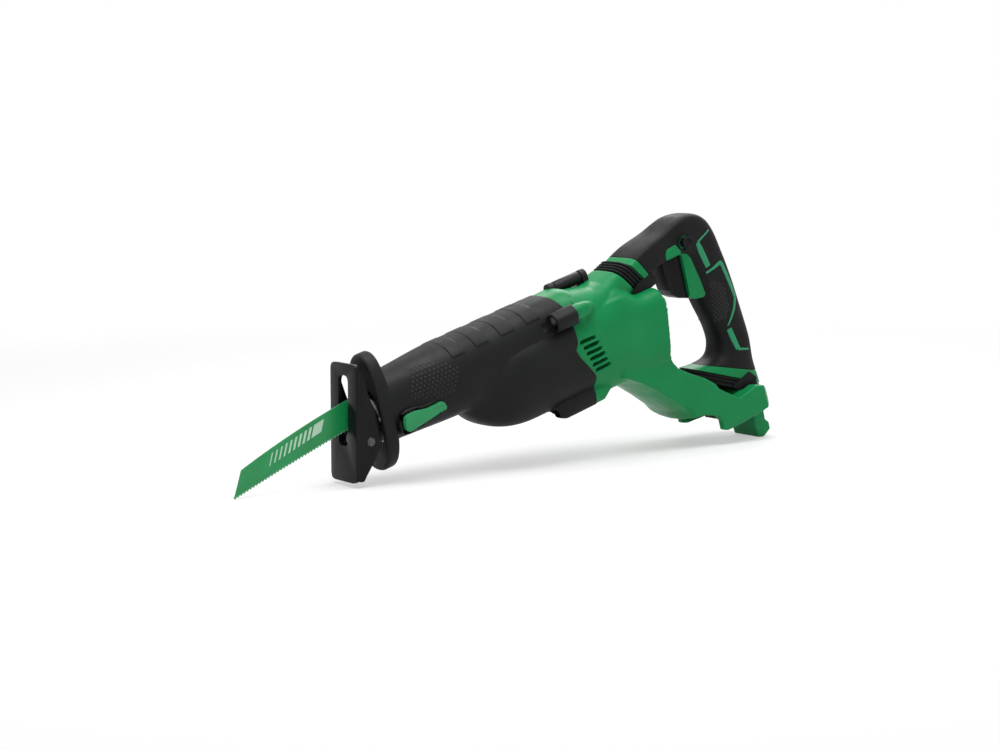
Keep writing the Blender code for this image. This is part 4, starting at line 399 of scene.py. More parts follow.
cover = {
    "rowGap": 1.1, "around": 336, "inside": 47.0, "settled": 226.0, "edgeRows": 26,
    "tiles": ((122.5, 136.0), (149.0, 163.5), (177.0, 192.5), (206.6, 221.5)),
    "tileRise": 0.9, "tileFrom": 36.0, "frontValley": 10.0, "valley": 1.0, "lipTurn": 1.6,
    "seamZ": (-75.0, -71.0, -62.0, -50.0, -26.0, -18.0, -12.0, 0.0, 8.0, 14.0, 25.0, 31.0, 35.0),
    "seamX": (256.0, 256.0, 258.0, 260.0, 246.0, 243.5, 248.0, 251.0, 252.0, 252.0, 249.0, 246.0, 241.0),
    "flangeAt": (40.0, -1.5), "flangeHalf": (27.0, 52.6), "flangeLean": 0.10,
    # screw bosses: place across and up, then x and size of each ring
    "upperBoss": (37.2, 14.0), "lowerBoss": (26.2, -70.2),
    "hood": ((227.6, 8.0), (228.1, 8.7), (229.2, 9.1), (240.0, 9.4), (250.0, 9.6), (251.2, 9.5), (251.6, 8.6)),
    "upperWell": ((220.0, 7.3), (228.4, 6.9), (233.0, 5.6)), "lowerWell": ((200.0, 5.6), (229.0, 4.9)),
}


def ovalGap(y, z, halfWidth, halfHeight, power):
    reach = (np.abs(y / halfWidth) ** power + np.abs(z / halfHeight) ** power) ** (1 / power)
    return np.hypot(y, z) * (1 - 1 / np.maximum(reach, 1e-6))


def blendGaps(a, b, valley):
    near = np.clip(0.5 + (a - b) / (2 * valley), 0.0, 1.0)
    return mix(a, b, near) - valley * near * (1 - near)


def barrelGap(x, y, z):
    # Barrel and gear bulge meet in a valley that narrows to the rear.
    slim = ease(x, 53.5, 128.0)
    top, bottom, width = mix(29.6, 33.0, slim), mix(33.0, 36.0, slim), mix(27.0, 33.0, slim)
    barrel = ovalGap(y, z - (top - bottom) / 2, width, (top + bottom) / 2, 2.4)
    t = np.clip((x - 127.0) / 73.0, 0.0, 1.0)
    grown = np.maximum((1 - (1 - t) ** 2.5) ** (2 / 3), 0.05)
    bulge = ovalGap(y, z + 28.0, 41.0 * grown, 41.0 * grown, 2.8)
    valley = mix(cover["frontValley"], cover["valley"], ease(x, 135.0, 172.0))
    return np.where(t > 0.004, blendGaps(barrel, bulge, valley), barrel)


def coverGap(x, y, z):
    gap = barrelGap(x, y, z)
    boss = np.maximum(ease(x, 203.0, 224.0), 0.05)  # lower screw bosses swell out of the bulge
    lower = ovalGap(np.abs(y) - 26.2, z + 69.0, 8.6 * boss, 8.6 * boss, 2.8)
    gap = np.where(x > 204.0, blendGaps(gap, lower, 2.0), gap)
    tilt = np.degrees(np.arctan2(z, np.abs(y)))
    raised = 0.0
    for start, end in cover["tiles"]:
        raised = np.maximum(raised, ease(x, start - 0.5, start + 0.5) * (1 - ease(x, end - 0.5, end + 0.5)))
    rise = cover["tileRise"] * mix(1.0, 0.3, ease(tilt, 52.0, 72.0))  # the bands run out towards the top
    return gap - rise * raised * ease(tilt, cover["tileFrom"], cover["tileFrom"] + 2.0)


def sectionGrid(gap, xs, around, inset=0.0):
    # Surface points along spokes from the middle of each section.
    angle = 2 * math.pi * (np.arange(around) + 0.5) / around
    x = np.broadcast_to(np.asarray(xs, float).reshape(len(xs), -1), (len(xs), around))
    middle = mix(-1.0, -20.0, ease(x, 112.0, 167.0))
    near, far = np.full(x.shape, 1.0), np.full(x.shape, 100.0)
    for _ in range(26):
        reach = (near + far) / 2
        inside = gap(x, reach * np.cos(angle), middle + reach * np.sin(angle)) < -inset
        near, far = np.where(inside, reach, near), np.where(inside, far, reach)
    return np.stack([x, near * np.cos(angle), middle + near * np.sin(angle)], -1)


def seamAt(z):
    return np.interp(z, cover["seamZ"], cover["seamX"])


def hexRing(x, y, z, size, power, around=48):
    angle = 2 * math.pi * np.arange(around) / around
    total = sum(np.abs(np.cos(angle - math.radians(turn))) ** power for turn in (10, 70, 130))
    reach = size / total ** (1 / power)
    return np.stack([np.full(around, x), y + reach * np.cos(angle), z + reach * np.sin(angle)], -1)


def hexBoss(name, place, profile, side, power=9.0):
    # A six-sided boss, or the well sunk in its front.
    return loft(name, [hexRing(x, side * place[0], place[1], size, power=power) for x, size in profile])


def makeCover():
    settled = np.arange(cover["inside"], cover["settled"], cover["rowGap"])
    for start, end in cover["tiles"]:
        settled = np.concatenate([settled, [start - 0.45, start + 0.45, end - 0.45, end + 0.45]])
    settled = np.unique(np.round(settled, 2))
    settled = settled[np.concatenate([[True], np.diff(settled) > 0.2])]
    around = cover["around"]
    rim = sectionGrid(coverGap, [250.0], around)
    for _ in range(4):
        rim = sectionGrid(coverGap, [seamAt(rim[0, :, 2])], around)
    edge = rim[0, :, 0]
    share = np.arange(1, cover["edgeRows"] + 1) / cover["edgeRows"]
    last = mix(settled[-1], edge[None, :], share[:, None])
    xs = np.concatenate([np.repeat(settled[:, None], around, 1), last])
    rings = sectionGrid(coverGap, xs, around)
    lip = sectionGrid(coverGap, [edge + 0.35, edge + 0.3], around, 0.5)
    lip[1] = sectionGrid(coverGap, [edge + 0.3], around, cover["lipTurn"] + 1.5)[0]
    shell = loft("frontCover", np.concatenate([rings, lip]))
    shell = join(shell, flangeSolid(), leverPad())
    shell = join(shell, *[hexBoss("hood", cover["upperBoss"], cover["hood"], side) for side in (-1, 1)])
    wells = [hexBoss("well", cover["upperBoss"], cover["upperWell"], side, 6.0) for side in (-1, 1)]
    wells += [hexBoss("lowerWell", cover["lowerBoss"], cover["lowerWell"], side, 4.0) for side in (-1, 1)]
    mouth = loft("mouth", [ovalRing(x, -6.0, 21.5, 27.0, 3.0) for x in (30.0, 90.0)])
    shell = cut(shell, mouth, *leverSpace(), *wells)
    return finishPiece(shell, "coverRubber", "frame", ("front_cover",))


def flangeSolid():
    # Round-edged collar, set back at the top.
    (front, z), (wide, tall) = cover["flangeAt"], cover["flangeHalf"]
    rings = []
    for x, inset in flangeProfile():
        ring = ovalRing(front + x, z, wide - inset, tall - inset, 2.3, taper=0.13, around=160)
        ring[:, 0] += ring[:, 2] * cover["flangeLean"]
        rings.append(ring)
    return loft("flange", rings)


def flangeProfile(width=13.5, turn=3.4, steps=6):
    profile = []
    for k in range(steps + 1):
        angle = math.pi / 2 * k / steps
        profile.append((turn * (1 - math.sin(angle)), turn * (1 - math.cos(angle))))
    return profile[::-1] + [(width - x, inset) for x, inset in profile]


# Blade-release lever in its raised rim

lever = {
    "outline": ((55.2, -13.0), (57.0, -8.8), (60.4, -7.1), (65.9, -6.9), (71.1, -7.5), (77.0, -9.0),
                (82.2, -9.7), (90.0, -9.6), (97.3, -9.2), (99.0, -12.1), (100.0, -16.8), (91.4, -18.3),
                (80.1, -19.4), (68.7, -20.8), (59.0, -22.0), (56.4, -21.4), (54.9, -18.0)),
    "outer": -34.4, "inner": -29.4, "rim": -30.6,
    "dip": ((88.0, -12.0), (96.5, -11.2), (96.5, -17.0), (89.0, -18.5)), "dipDepth": 0.5,
    "pinAt": (64.0, -32.2), "pinWell": 10.7, "wellZ": (-23.2, -5.8),
    "pin": ((-23.6, 0.5), (-23.2, 1.2), (-22.6, 1.45), (-6.6, 1.45), (-6.1, 1.2), (-5.8, 0.5)),
}


def grown(points, by):
    # The outline moved outwards from its middle line.
    points = np.array(points, float)
    ahead, behind = np.roll(points, -1, 0), np.roll(points, 1, 0)
    run = ahead - behind
    run /= np.hypot(run[:, 0], run[:, 1])[:, None]
    return points + np.stack([-run[:, 1], run[:, 0]], -1) * by


def leverPad():
    return slab("leverPad", rounded(grown(lever["outline"], 3.2), 3.0), -20.0, lever["rim"], edge=1.2)


def leverSpace():
    pocket = slab("leverPocket", rounded(grown(lever["outline"], 0.9), 2.5), -45.0, lever["inner"] + 0.5)
    well = slab("leverWell", oval(*lever["pinAt"], lever["pinWell"]), *lever["wellZ"], "z")
    return pocket, well


def makeLever():
    outer = lever["outer"]
    body = slab("bladeLever", rounded(lever["outline"], 3.0), outer, lever["inner"])
    dip = slab("thumbDip", rounded(lever["dip"], 1.6), outer - 3.0, outer + lever["dipDepth"])
    body = roundEdges(cut(body, dip), 0.8)
    return finishPiece(body, "leverPlastic", "blade_lever", ("blade_lever",))


def makeLeverPin():
    # Headless pin with domed ends, sunk in the lever's lobe.
    pin = turned("leverPin", *lever["pinAt"], lever["pin"], "z", 32)
    return finishPiece(pin, "wornSteel", "frame", ("lever_pin",))


# Green motor housing with the battery base, one moulding in two halves

housing = {
    "voxel": 1.1, "softRounds": 2, "rear": 362.0, "rearTurn": 6.0, "under": 0.8,
    "front": 234.0, "rowGap": 1.5, "around": 180,
    "creaseX": (258.0, 285.0, 307.0, 323.0, 336.0), "creaseZ": (12.0, 8.5, 8.5, 8.0, 6.0), "creaseDrop": 1.5,
    "baseOutline": ((291.7, -52.0), (291.7, -65.3), (301.5, -70.2), (314.0, -79.2), (329.0, -92.3),
                    (343.7, -107.5),
                    (358.0, -123.8), (364.0, -134.0), (374.6, -135.8), (391.0, -143.6), (394.6, -150.5),
                    (394.0, -159.5), (399.0, -161.7), (414.0, -162.3), (453.0, -160.5), (465.0, -161.0),
                    (467.0, -158.0), (467.0, -150.0), (463.0, -142.5), (456.0, -137.0), (446.0, -133.5),
                    (421.5, -137.0), (400.0, -118.6), (396.5, -112.0), (386.0, -102.0), (371.0, -91.5),
                    (358.0, -81.4), (351.5, -70.5), (350.0, -52.0)),
    "archPoints": (2, 8), "archCrown": 5.0, "baseHalf": 35.0,
    "cornerPlan": ((453.5, 36.0), (468.5, 20.5), (480.0, 20.5), (480.0, 45.0), (453.5, 45.0)),
    # x, z, half width, half height, squareness, rake of the roof that runs into the upper joint's neck
    "roof": ((262.0, 0.0, 36.0, 30.0, 2.6, 0.0), (280.0, 1.0, 34.0, 26.0, 2.7, 4.0),
             (297.0, 4.0, 30.5, 20.5, 2.9, 10.0), (310.0, 8.6, 26.5, 16.8, 3.1, 17.0),
             (320.0, 12.0, 24.0, 16.2, 3.3, 25.0), (332.0, 15.2, 22.3, 16.6, 3.4, 34.0)),
    # x, y, z, size of the screw bosses where they run out along the housing
    "bump": ((246.0, 37.4, 14.4, 7.4), (258.0, 37.6, 14.8, 7.6), (268.0, 37.0, 14.4, 6.8),
             (276.0, 33.5, 13.0, 4.6), (285.0, 27.0, 10.0, 1.6)),
    "lowerRun": ((245.0, 26.2, -69.5, 8.0), (268.0, 26.2, -69.5, 8.0), (282.0, 22.0, -66.0, 6.0),
                 (292.0, 17.0, -62.0, 4.0)),
    "bayLip": ((356.0, -122.0), (361.0, -130.0), (365.5, -138.0), (367.5, -145.6), (376.5, -145.0),
               (382.0, -139.0), (384.0, -131.0)),
    "foot": ((450.0, -146.0), (447.0, -166.0), (446.2, -181.0), (447.5, -191.4), (454.5, -193.7),
             (464.5, -189.0), (464.5, -181.5), (461.0, -177.5), (461.0, -170.0), (466.0, -160.0),
             (466.0, -150.0)),
    "knuckleSpace": ((2.5, 21.5), (19.5, 21.5), (19.5, 60.0), (2.5, 60.0)), "plungerBore": 11.0,
    "rearCut": ((358.5, -22.0), (353.5, -50.0), (350.5, -64.0), (352.2, -70.5), (359.0, -81.0), (380.0, -81.0),
                (380.0, -22.0)),
    "rail": ((398.0, -157.0), (443.0, -162.0), (443.0, -164.6), (398.0, -160.6)),
    "inletX": 363.0, "inletZ": (-7.5, -18.5, -29.5, -40.5), "inletSize": (4.2, 3.0),
    "vents": 6, "ventFirst": (260.5, -13.6), "ventLast": (270.2, -44.0), "ventLong": 20.0, "ventTall": 3.3,
    "ventLean": 1.6, "ventDrop": 0.5, "bayFrom": 365.0, "bayTo": 442.0,
}


def motorGap(x, y, z):
    top = mix(33.5, 22.0, ease(x, 257.0, 285.0))
    top = mix(top, 1.0, ease(x, 306.0, 340.0))
    bottom = mix(69.0, 77.0, ease(x, 245.0, 285.0))
    width = mix(41.0, 38.0, ease(x, 245.0, 287.0))
    power = mix(2.8, 5.0, ease(x, 285.0, 350.0))
    motor = ovalGap(y, z - (top - bottom) / 2, width, (top + bottom) / 2, power)
    gap = mix(barrelGap(x, y, z), motor, ease(x, 245.0, 287.0))
    above = z - np.interp(x, housing["creaseX"], housing["creaseZ"])
    step = ease(above, -0.6, 1.4) * (1 - ease(above, 8.0, 22.0))
    step = step * ease(x, 258.0, 272.0) * (1 - ease(x, 326.0, 340.0))
    return gap + housing["creaseDrop"] * step + housing["under"] * (1 - ease(x, 255.0, 272.0))


def baseSolid():
    # The arch under the neck is crowned across its width.
    points = np.array(housing["baseOutline"], float)
    half = housing["baseHalf"]
    first, last = housing["archPoints"]
    rings = []
    for y in (-half, -half + 0.6, -28.0, -20.0, -10.0, 0.0, 10.0, 20.0, 28.0, half - 0.6, half):
        ring = points.copy()
        crown = housing["archCrown"] * (1 - (y / half) ** 2)
        for k in range(first, last):
            run = points[k + 1] - points[k - 1]
            run /= np.hypot(*run)
            ring[k] += np.array([run[1], -run[0]]) * crown * min(1.0, (k - first + 1) / 3)
        inset = 0.9 if abs(y) == half else 0.0
        middle = ring.mean(0)
        ring = ring - inset * (ring - middle) / np.hypot(*(ring - middle).T)[:, None]
        rings.append(np.stack([ring[:, 0], np.full(len(ring), y), ring[:, 1]], -1))
    base = loft("base", rings)
    corners = []
    for side in (-1, 1):
        plan = [(x, side * y) for x, y in housing["cornerPlan"]]
        corners.append(slab("corner", plan, -175.0, -120.0, "z"))
    return cut(base, *corners)


def jointHeight(x):
    return -129.53 + (x - 425.5) * math.tan(math.radians(-30.0))  # top plane under the lower bellows


def bayCeiling(x):
    return -131.5 + (x - 363.0) * math.tan(math.radians(-11.7))


def bossRun(name, power, side):
    return loft(name, [ovalRing(x, z, size, size, power, around=32, y=side * y)
                       for x, y, z, size in housing[name]])


def housingCutters():
    # Room for hook, plunger, heel and battery, then the openings for air.
    cutters = [slab("knuckleSpace", housing["knuckleSpace"], 270.0, 302.0, "x")]
    bore = housing["plungerBore"]
    cutters.append(loft("plungerBore", [ovalRing(x, 0.0, bore, bore, 2.0, around=40) for x in (225.0, 270.0)]))
    channel = [(376.0, jointHeight(376.0)), (480.0, jointHeight(480.0)), (480.0, -60.0), (396.0, -60.0),
               (376.0, -84.0)]
    cutters.append(slab("heelChannel", channel, -22.6, 22.6))
    front, rear = housing["bayFrom"], housing["bayTo"]
    bay = ((front, bayCeiling(front)), (rear, bayCeiling(rear)), (rear, -230.0), (front, -230.0))
    cutters.append(slab("bay", bay, -27.5, 27.5))
    for z in housing["inletZ"]:
        inlet = oval(housing["inletX"], z, *housing["inletSize"], count=24)
        cutters.append(slab("inlet", inlet, -60.0, 60.0))
    long, tall = housing["ventLong"] / 2, housing["ventTall"] / 2
    lean, drop = housing["ventLean"], housing["ventDrop"]
    for k in range(housing["vents"]):
        share = k / (housing["vents"] - 1)
        x, z = [mix(a, b, share) for a, b in zip(housing["ventFirst"], housing["ventLast"])]
        slot = ((x - long - lean, z - tall), (x + long - lean, z - tall - drop),
                (x + long + lean, z + tall - drop), (x - long + lean, z + tall))
        cutters += mirrored("vent", slot, 31.5, 60.0)
    cutters.append(slab("rearCut", housing["rearCut"], -60.0, 60.0))
    return cutters


def makeHousing():
    rear, turn, around = housing["rear"], housing["rearTurn"], housing["around"]
    xs = list(np.arange(housing["front"], rear - turn, housing["rowGap"])) + [rear - turn]
    rings = [sectionGrid(motorGap, [x], around)[0] for x in xs]
    for k in range(1, 7):
        angle = math.pi / 2 * k / 6
        x, inset = rear - turn + turn * math.sin(angle), turn * (1 - math.cos(angle))
        rings.append(sectionGrid(motorGap, [x], around, inset)[0])
    shell = loft("motorHousing", rings)
    stub = loft("stub", [ovalRing(*section, math.radians(rake)) for *section, rake in housing["roof"]])
    lip = slab("bayLip", rounded(housing["bayLip"], 1.0), -20.0, 20.0)
    foot = slab("foot", rounded(housing["foot"], 1.4), -18.0, 18.0)
    added = [baseSolid(), stub, lip, foot]
    for side in (-1, 1):
        added += [bossRun("bump", 2.4, side), bossRun("lowerRun", 2.2, side)]
    shell = cut(join(shell, *added), *housingCutters())
    shell = join(shell, *mirrored("rail", housing["rail"], 23.5, 29.0))
    soften(shell, housing["voxel"], housing["softRounds"])
    return finishPiece(shell, "greenPlastic", "frame", ("housing_left", "housing_right"), sharp=50.0)


# Floating handle

handle = {
    # x, z, heading, half depth, half width, squareness, share of the depth above the middle
    "stations": ((346.5, 20.0, 34.0, 16.0, 22.0, 5.0, 0.76), (367.0, 27.5, 20.0, 15.0, 21.5, 6.5, 0.72),
                 (390.0, 31.5, 6.0, 15.8, 19.5, 6.5, 0.72), (416.0, 32.8, -11.0, 19.5, 18.5, 4.8, 0.90),
                 (433.0, 22.2, -46.0, 23.6, 17.5, 3.4, 0.96), (440.0, -5.5, -76.0, 22.6, 16.5, 3.2, 1.0),
                 (444.4, -33.8, -79.0, 23.4, 16.5, 2.8, 1.0), (450.0, -66.0, -81.0, 20.6, 17.0, 2.6, 1.0),
                 (451.0, -90.0, -94.0, 20.4, 18.4, 2.7, 1.0), (445.0, -107.5, -110.0, 26.0, 20.2, 2.7, 1.0),
                 (431.0, -120.0, -120.0, 48.0, 21.0, 2.8, 1.0)),
    "skinFrom": 0.45, "skinTo": 9.42, "skin": 2.2, "rows": 250, "around": 128,
}


def handleRing(place, inset=0.0):
    stations = handle["stations"]
    last = len(stations) - 1
    i = min(int(place), last - 1)
    t = place - i
    a, b = np.array(stations[i]), np.array(stations[i + 1])
    before, after = np.array(stations[max(i - 1, 0)]), np.array(stations[min(i + 2, last)])
    slopeA, slopeB = (b - before) / 2, (after - a) / 2
    x, z, heading, depth, width, power, top = (
        (2 * t ** 3 - 3 * t ** 2 + 1) * a + (t ** 3 - 2 * t ** 2 + t) * slopeA
        + (3 * t ** 2 - 2 * t ** 3) * b + (t ** 3 - t ** 2) * slopeB)
    return ovalRing(x, z, width - inset, depth - inset, power, math.radians(heading),
                    around=handle["around"], top=top)


def makeGrip():
    # Soft skin over the core, sunk and bored through for the lock button.
    start, end, skin = handle["skinFrom"], handle["skinTo"], handle["skin"]
    rings = [handleRing(start - 0.016, skin + 1.0), handleRing(start - 0.012, 0.5)]
    rings += [handleRing(place) for place in np.linspace(start, end, handle["rows"])]
    rings += [handleRing(end + 0.010, 0.5), handleRing(end + 0.014, skin + 1.0)]
    recess = slab("lockRecess", oval(*lock["middle"], lock["recess"]), -40.0, lock["recessFloor"])
    bore = slab("lockBore", oval(*lock["middle"], lock["bore"]), -40.0, 40.0)
    return cut(loft("gripSkin", rings), recess, bore)


def springRoom(node, spare):
    # Middle of a spring's box, and half its width with room to spare.
    low, high = [drawing.inverted() @ Vector(corner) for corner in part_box(node)]
    return (low + high) / 2, (high.y - low.y) / 2 + spare


def makeCore():
    # Green core that shows as a band at the arm and along the heel.
    start, end, skin = handle["skinFrom"], handle["skinTo"], handle["skin"]
    rings = [handleRing(0.0, 1.2), handleRing(0.02, 0.3), handleRing(0.05, 0.0)]
    rings += [handleRing(place, 0.0) for place in np.linspace(0.07, start - 0.06, 12)]
    rings += [handleRing(start - 0.03, 0.3), handleRing(start - 0.02, skin)]
    rings += [handleRing(place, skin) for place in np.linspace(start + 0.05, end - 0.05, 60)]
    rings += [handleRing(end + 0.015, skin), handleRing(end + 0.025, 0.3)]
    rings += [handleRing(place, 0.0) for place in np.linspace(end + 0.05, 9.97, 24)]
    rings += [handleRing(9.99, 0.4), handleRing(10.0, 1.2)]
    core = loft("handleCore", rings)
    tongue = [(400.0, -102.0), (420.0, -102.0)] + oval(404.0, -127.5, 8.5, count=13, turn=-math.pi)
    core = join(core, slab("tongue", tongue, -7.5, 7.5))
    middle, wide = springRoom("damper_spring", 1.6)
    seat = [ovalRing(x, middle.z, wide, wide, 2.0, around=32) for x in (middle.x - 14.0, middle.x + 14.0)]
    core = cut(core, loft("springSeat", seat))
    return finishPiece(core, "greenPlastic", "handle", ("handle_left", "handle_right"))


def ribbon(name, path, widths, tree, side, lift=0.35, sink=1.0):
    # A raised strip that lies on the skin along a side-view path.
    path, widths = np.array(path, float), np.array(widths, float)
    run = np.concatenate([[0.0], np.cumsum(np.hypot(*np.diff(path, axis=0).T))])
    at = np.linspace(0.0, run[-1], max(int(run[-1] / 1.0), 4))
    line = np.stack([np.interp(at, run, path[:, 0]), np.interp(at, run, path[:, 1])], -1)
    wide = np.interp(at, run, widths)
    along = np.gradient(line, axis=0)
    along /= np.hypot(along[:, 0], along[:, 1])[:, None]
    across = np.stack([-along[:, 1], along[:, 0]], -1)
    rings = []
    for k in range(len(line)):
        top, bottom = [], []
        for share in np.linspace(-1.0, 1.0, 7):
            x, z = line[k] + across[k] * wide[k] / 2 * share
            hit = tree.ray_cast(Vector((x, side * 60.0, z)), Vector((0.0, -side, 0.0)))[0]
            if hit is None:
                hit = tree.find_nearest(Vector((x, side * 10.0, z)))[0]
            rise = lift * (1 - abs(share) ** 6)
            top.append((hit.x, hit.y + side * rise, hit.z))
            bottom.append((hit.x, hit.y - side * sink, hit.z))
        rings.append(top + bottom[::-1])
    return loft(name, rings)


accents = (
    (((446.0, 27.0), (436.0, 23.5), (428.6, 20.5)), (1.8, 1.8, 2.4)),
    (((428.0, 20.5), (430.0, 13.0), (433.0, 2.0), (435.2, -6.5)), (4.4, 6.4, 6.4, 6.0)),
    (((431.0, -12.0), (440.0, -10.6), (450.0, -8.2), (453.0, -9.0)), (2.0, 2.6, 3.6, 4.4)),
    (((452.5, -9.0), (456.0, -22.0), (459.0, -36.0), (460.6, -47.0)), (4.4, 4.8, 4.8, 4.0)),
    (((460.6, -47.0), (455.0, -57.0), (449.0, -64.0), (442.5, -70.5)), (3.8, 3.0, 2.4, 1.4)),
    (((443.0, -74.0), (444.5, -84.0), (446.5, -96.0)), (5.4, 5.8, 5.4)),
    (((446.5, -96.5), (452.0, -98.5), (460.0, -101.5)), (2.8, 2.2, 1.6)),
)


def makeAccents(tree):
    strips = []
    for side in (-1, 1):
        for path, widths in accents:
            strips.append(ribbon("strip", path, widths, tree, side))
    return finishPiece(together("gripAccents", strips), "accentGreen", "handle")


trigger = {
    "outline": ((387.0, 17.0), (394.0, 17.4), (409.0, 14.6), (424.0, 12.4), (424.0, -28.6), (406.5, -29.0),
                (398.0, -26.0), (392.0, -21.5), (388.4, -15.0), (387.0, -6.0), (386.6, 6.0)),
    "half": 9.0, "hollowAt": (399.5, 13.4), "hollowSize": (9.0, 5.6),
}


def makeTrigger():
    body = slab("triggerPad", rounded(trigger["outline"], 3.0), -trigger["half"], trigger["half"])
    hollows = []
    for side in (-1, 1):
        x, y = trigger["hollowAt"]
        hollows.append(slab("fingerHollow", oval(x, side * y, *trigger["hollowSize"]), -40.0, 40.0, "z"))
    body = roundEdges(cut(body, *hollows), 0.9)
    middle, wide = springRoom("trigger_spring", 1.0)
    seat = slab("springSeat", oval(middle.y, middle.z, wide), middle.x - 20.0, 440.0, "x")
    return finishPiece(cut(body, seat), "triggerPlastic", "trigger", ("trigger",))


bezel = {
    "outline": ((386.5, 21.0), (387.0, 27.0), (391.0, 29.5), (402.0, 29.5), (405.0, 25.0), (410.0, 20.5),
                (428.0, 20.5), (430.0, -28.0), (424.0, -34.0), (413.0, -32.0), (408.5, -30.0), (407.5, -26.0),
                (409.0, 14.0), (404.0, 18.0)),
    "opening": ((370.0, 18.2), (440.0, 18.2), (440.0, -30.2), (370.0, -30.2)), "half": 13.6, "openHalf": 9.6,
    "cheek": ((384.5, 17.4), (385.0, 23.5), (388.0, 27.2), (399.5, 28.4), (402.0, 24.0), (404.5, 19.6),
              (402.0, 17.6)),
}


def makeBezel():
    rim = slab("triggerBezel", rounded(bezel["outline"], 2.2), -bezel["half"], bezel["half"])
    rim = cut(rim, slab("triggerOpening", bezel["opening"], -bezel["openHalf"], bezel["openHalf"]))
    roundEdges(rim, 1.0)
    cheeks = mirrored("bezelCheek", rounded(bezel["cheek"], 1.6), 14.5, 20.0, edge=0.5)
    return finishPiece(together("triggerBezel", [rim] + cheeks), "greenPlastic", "handle")


lock = {
    "middle": (412.5, 26.0), "recess": 7.4, "recessFloor": -15.4, "bore": 5.0,
    "profile": ((-22.9, 3.4), (-23.6, 4.0), (-23.6, 5.6), (-23.0, 6.3), (-21.4, 6.3), (-20.8, 5.6),
                (-20.8, 4.6), (17.0, 4.6), (17.4, 4.2)),
}


def makeLock():
    # Cross-bolt with a dished disc at its left end.
    bolt = turned("lockButton", *lock["middle"], lock["profile"], count=48)
    return finishPiece(bolt, "triggerPlastic", "lock_button", ("lock_button",))


# Shoe, drawn about its pivot and leaned back to its rest angle

shoe = {"pivot": (25.0, 0.0, -19.5), "lean": 17.8, "front": -15.2, "plate": 3.2, "half": 21.2, "above": 67.5,
        "below": 35.6, "corner": 7.0, "slotHalf": 7.8, "slotTop": 57.0, "slotBottom": -4.5, "pinHole": 3.3,
        "rivet": ((20.2, 3.8), (21.4, 3.8), (21.7, 3.5), (21.7, 2.6), (22.2, 2.4), (22.4, 1.9), (22.4, 0.4))}


def makeShoe():
    half, above, below = shoe["half"], shoe["above"], shoe["below"]
    front, back = shoe["front"], shoe["front"] + shoe["plate"]
    face = rounded(((half, above), (-half, above), (-half, -below), (half, -below)), shoe["corner"], 8)
    plate = slab("shoePlate", face, front, back, "x")
    ear = ((back - 1.5, above - 5.0), (front + 7.5, above - 9.0), (front + 10.0, above - 20.0),
           (front + 15.0, above - 33.0), (7.5, 22.0), (9.5, 8.0), (9.5, -5.0), (6.0, -13.0),
           (front + 10.5, -below + 6.0), (front + 8.0, -below + 1.5), (back - 1.5, -below + 1.5))
    plate = join(plate, *mirrored("ear", rounded(ear, 2.5), half - 3.0, half - 0.1))
    wide, top, bottom = shoe["slotHalf"], shoe["slotTop"], shoe["slotBottom"]
    slotFace = rounded(((wide, top), (-wide, top), (-wide, bottom), (wide, bottom)), wide * 0.8, 8)
    slot = slab("slot", slotFace, front - 8.0, back + 4.0, "x")
    pinHole = slab("pinHole", oval(0.0, 0.0, shoe["pinHole"]), -40.0, 40.0)
    plate = roundEdges(cut(plate, slot, pinHole), 0.75, 3, 40.0)
    turn = Matrix.Translation(shoe["pivot"]) @ Matrix.Rotation(math.radians(shoe["lean"]), 4, "Y")
    plate.data.transform(turn)
    finishPiece(plate, "blackEnamel", "shoe", ("shoe",), sharp=40.0)
    rivets = []
    for side in (-1, 1):
        rivets.append(turned("rivet", 0.0, 0.0, [(side * y, size) for y, size in shoe["rivet"]]))
        rivets[-1].data.transform(turn)
    finishPiece(together("shoeRivets", rivets), "wornSteel", "shoe")


# Blade: plain body here, teeth set along its lower edge by nodes

blade = {"tip": (-103.4, -21.4), "tipTop": (-89.5, 0.0), "heel": 26.0, "top": 17.5, "bottom": -7.2,
         "belly": 0.8, "half": 0.62, "teeth": 40, "toothTall": 2.1, "tang": 6.0, "tangFront": 37.0, "tangRear": 57.5,
         "pinAt": (50.25, 0.0), "pinHole": 2.1}


def bladeEdge(share):
    return (mix(blade["tip"][0], blade["heel"], share),
            mix(blade["tip"][1], blade["bottom"], share) + blade["belly"] * math.sin(math.pi * share))


def makeBlade():
    tipTop, heel, tang = blade["tipTop"], blade["heel"], blade["tang"]
    bend = ((heel + tipTop[0]) / 2, (blade["top"] + tipTop[1]) / 2 + 4.0)
    outline = [(blade["tangRear"], tang), (blade["tangFront"], tang)]
    for k in range(25):
        t = k / 24
        outline.append((mix(mix(heel, bend[0], t), mix(bend[0], tipTop[0], t), t),
                        mix(mix(blade["top"], bend[1], t), mix(bend[1], tipTop[1], t), t)))
    lift = blade["toothTall"] * 0.9
    outline.append((blade["tip"][0] + 0.6, blade["tip"][1] + lift))
    outline += [(x, z + lift) for x, z in (bladeEdge(k / 30) for k in range(1, 31))]
    outline += [(heel + 3.0, blade["bottom"] + lift), (blade["tangFront"], -tang), (blade["tangRear"], -tang)]
    body = slab("sawBlade", outline, -blade["half"], blade["half"])
    body = cut(body, slab("pinHole", oval(*blade["pinAt"], blade["pinHole"], count=24), -3.0, 3.0))
    finishPiece(body, "bladePaint", "plunger", ("saw_blade",))
    makeTeeth()


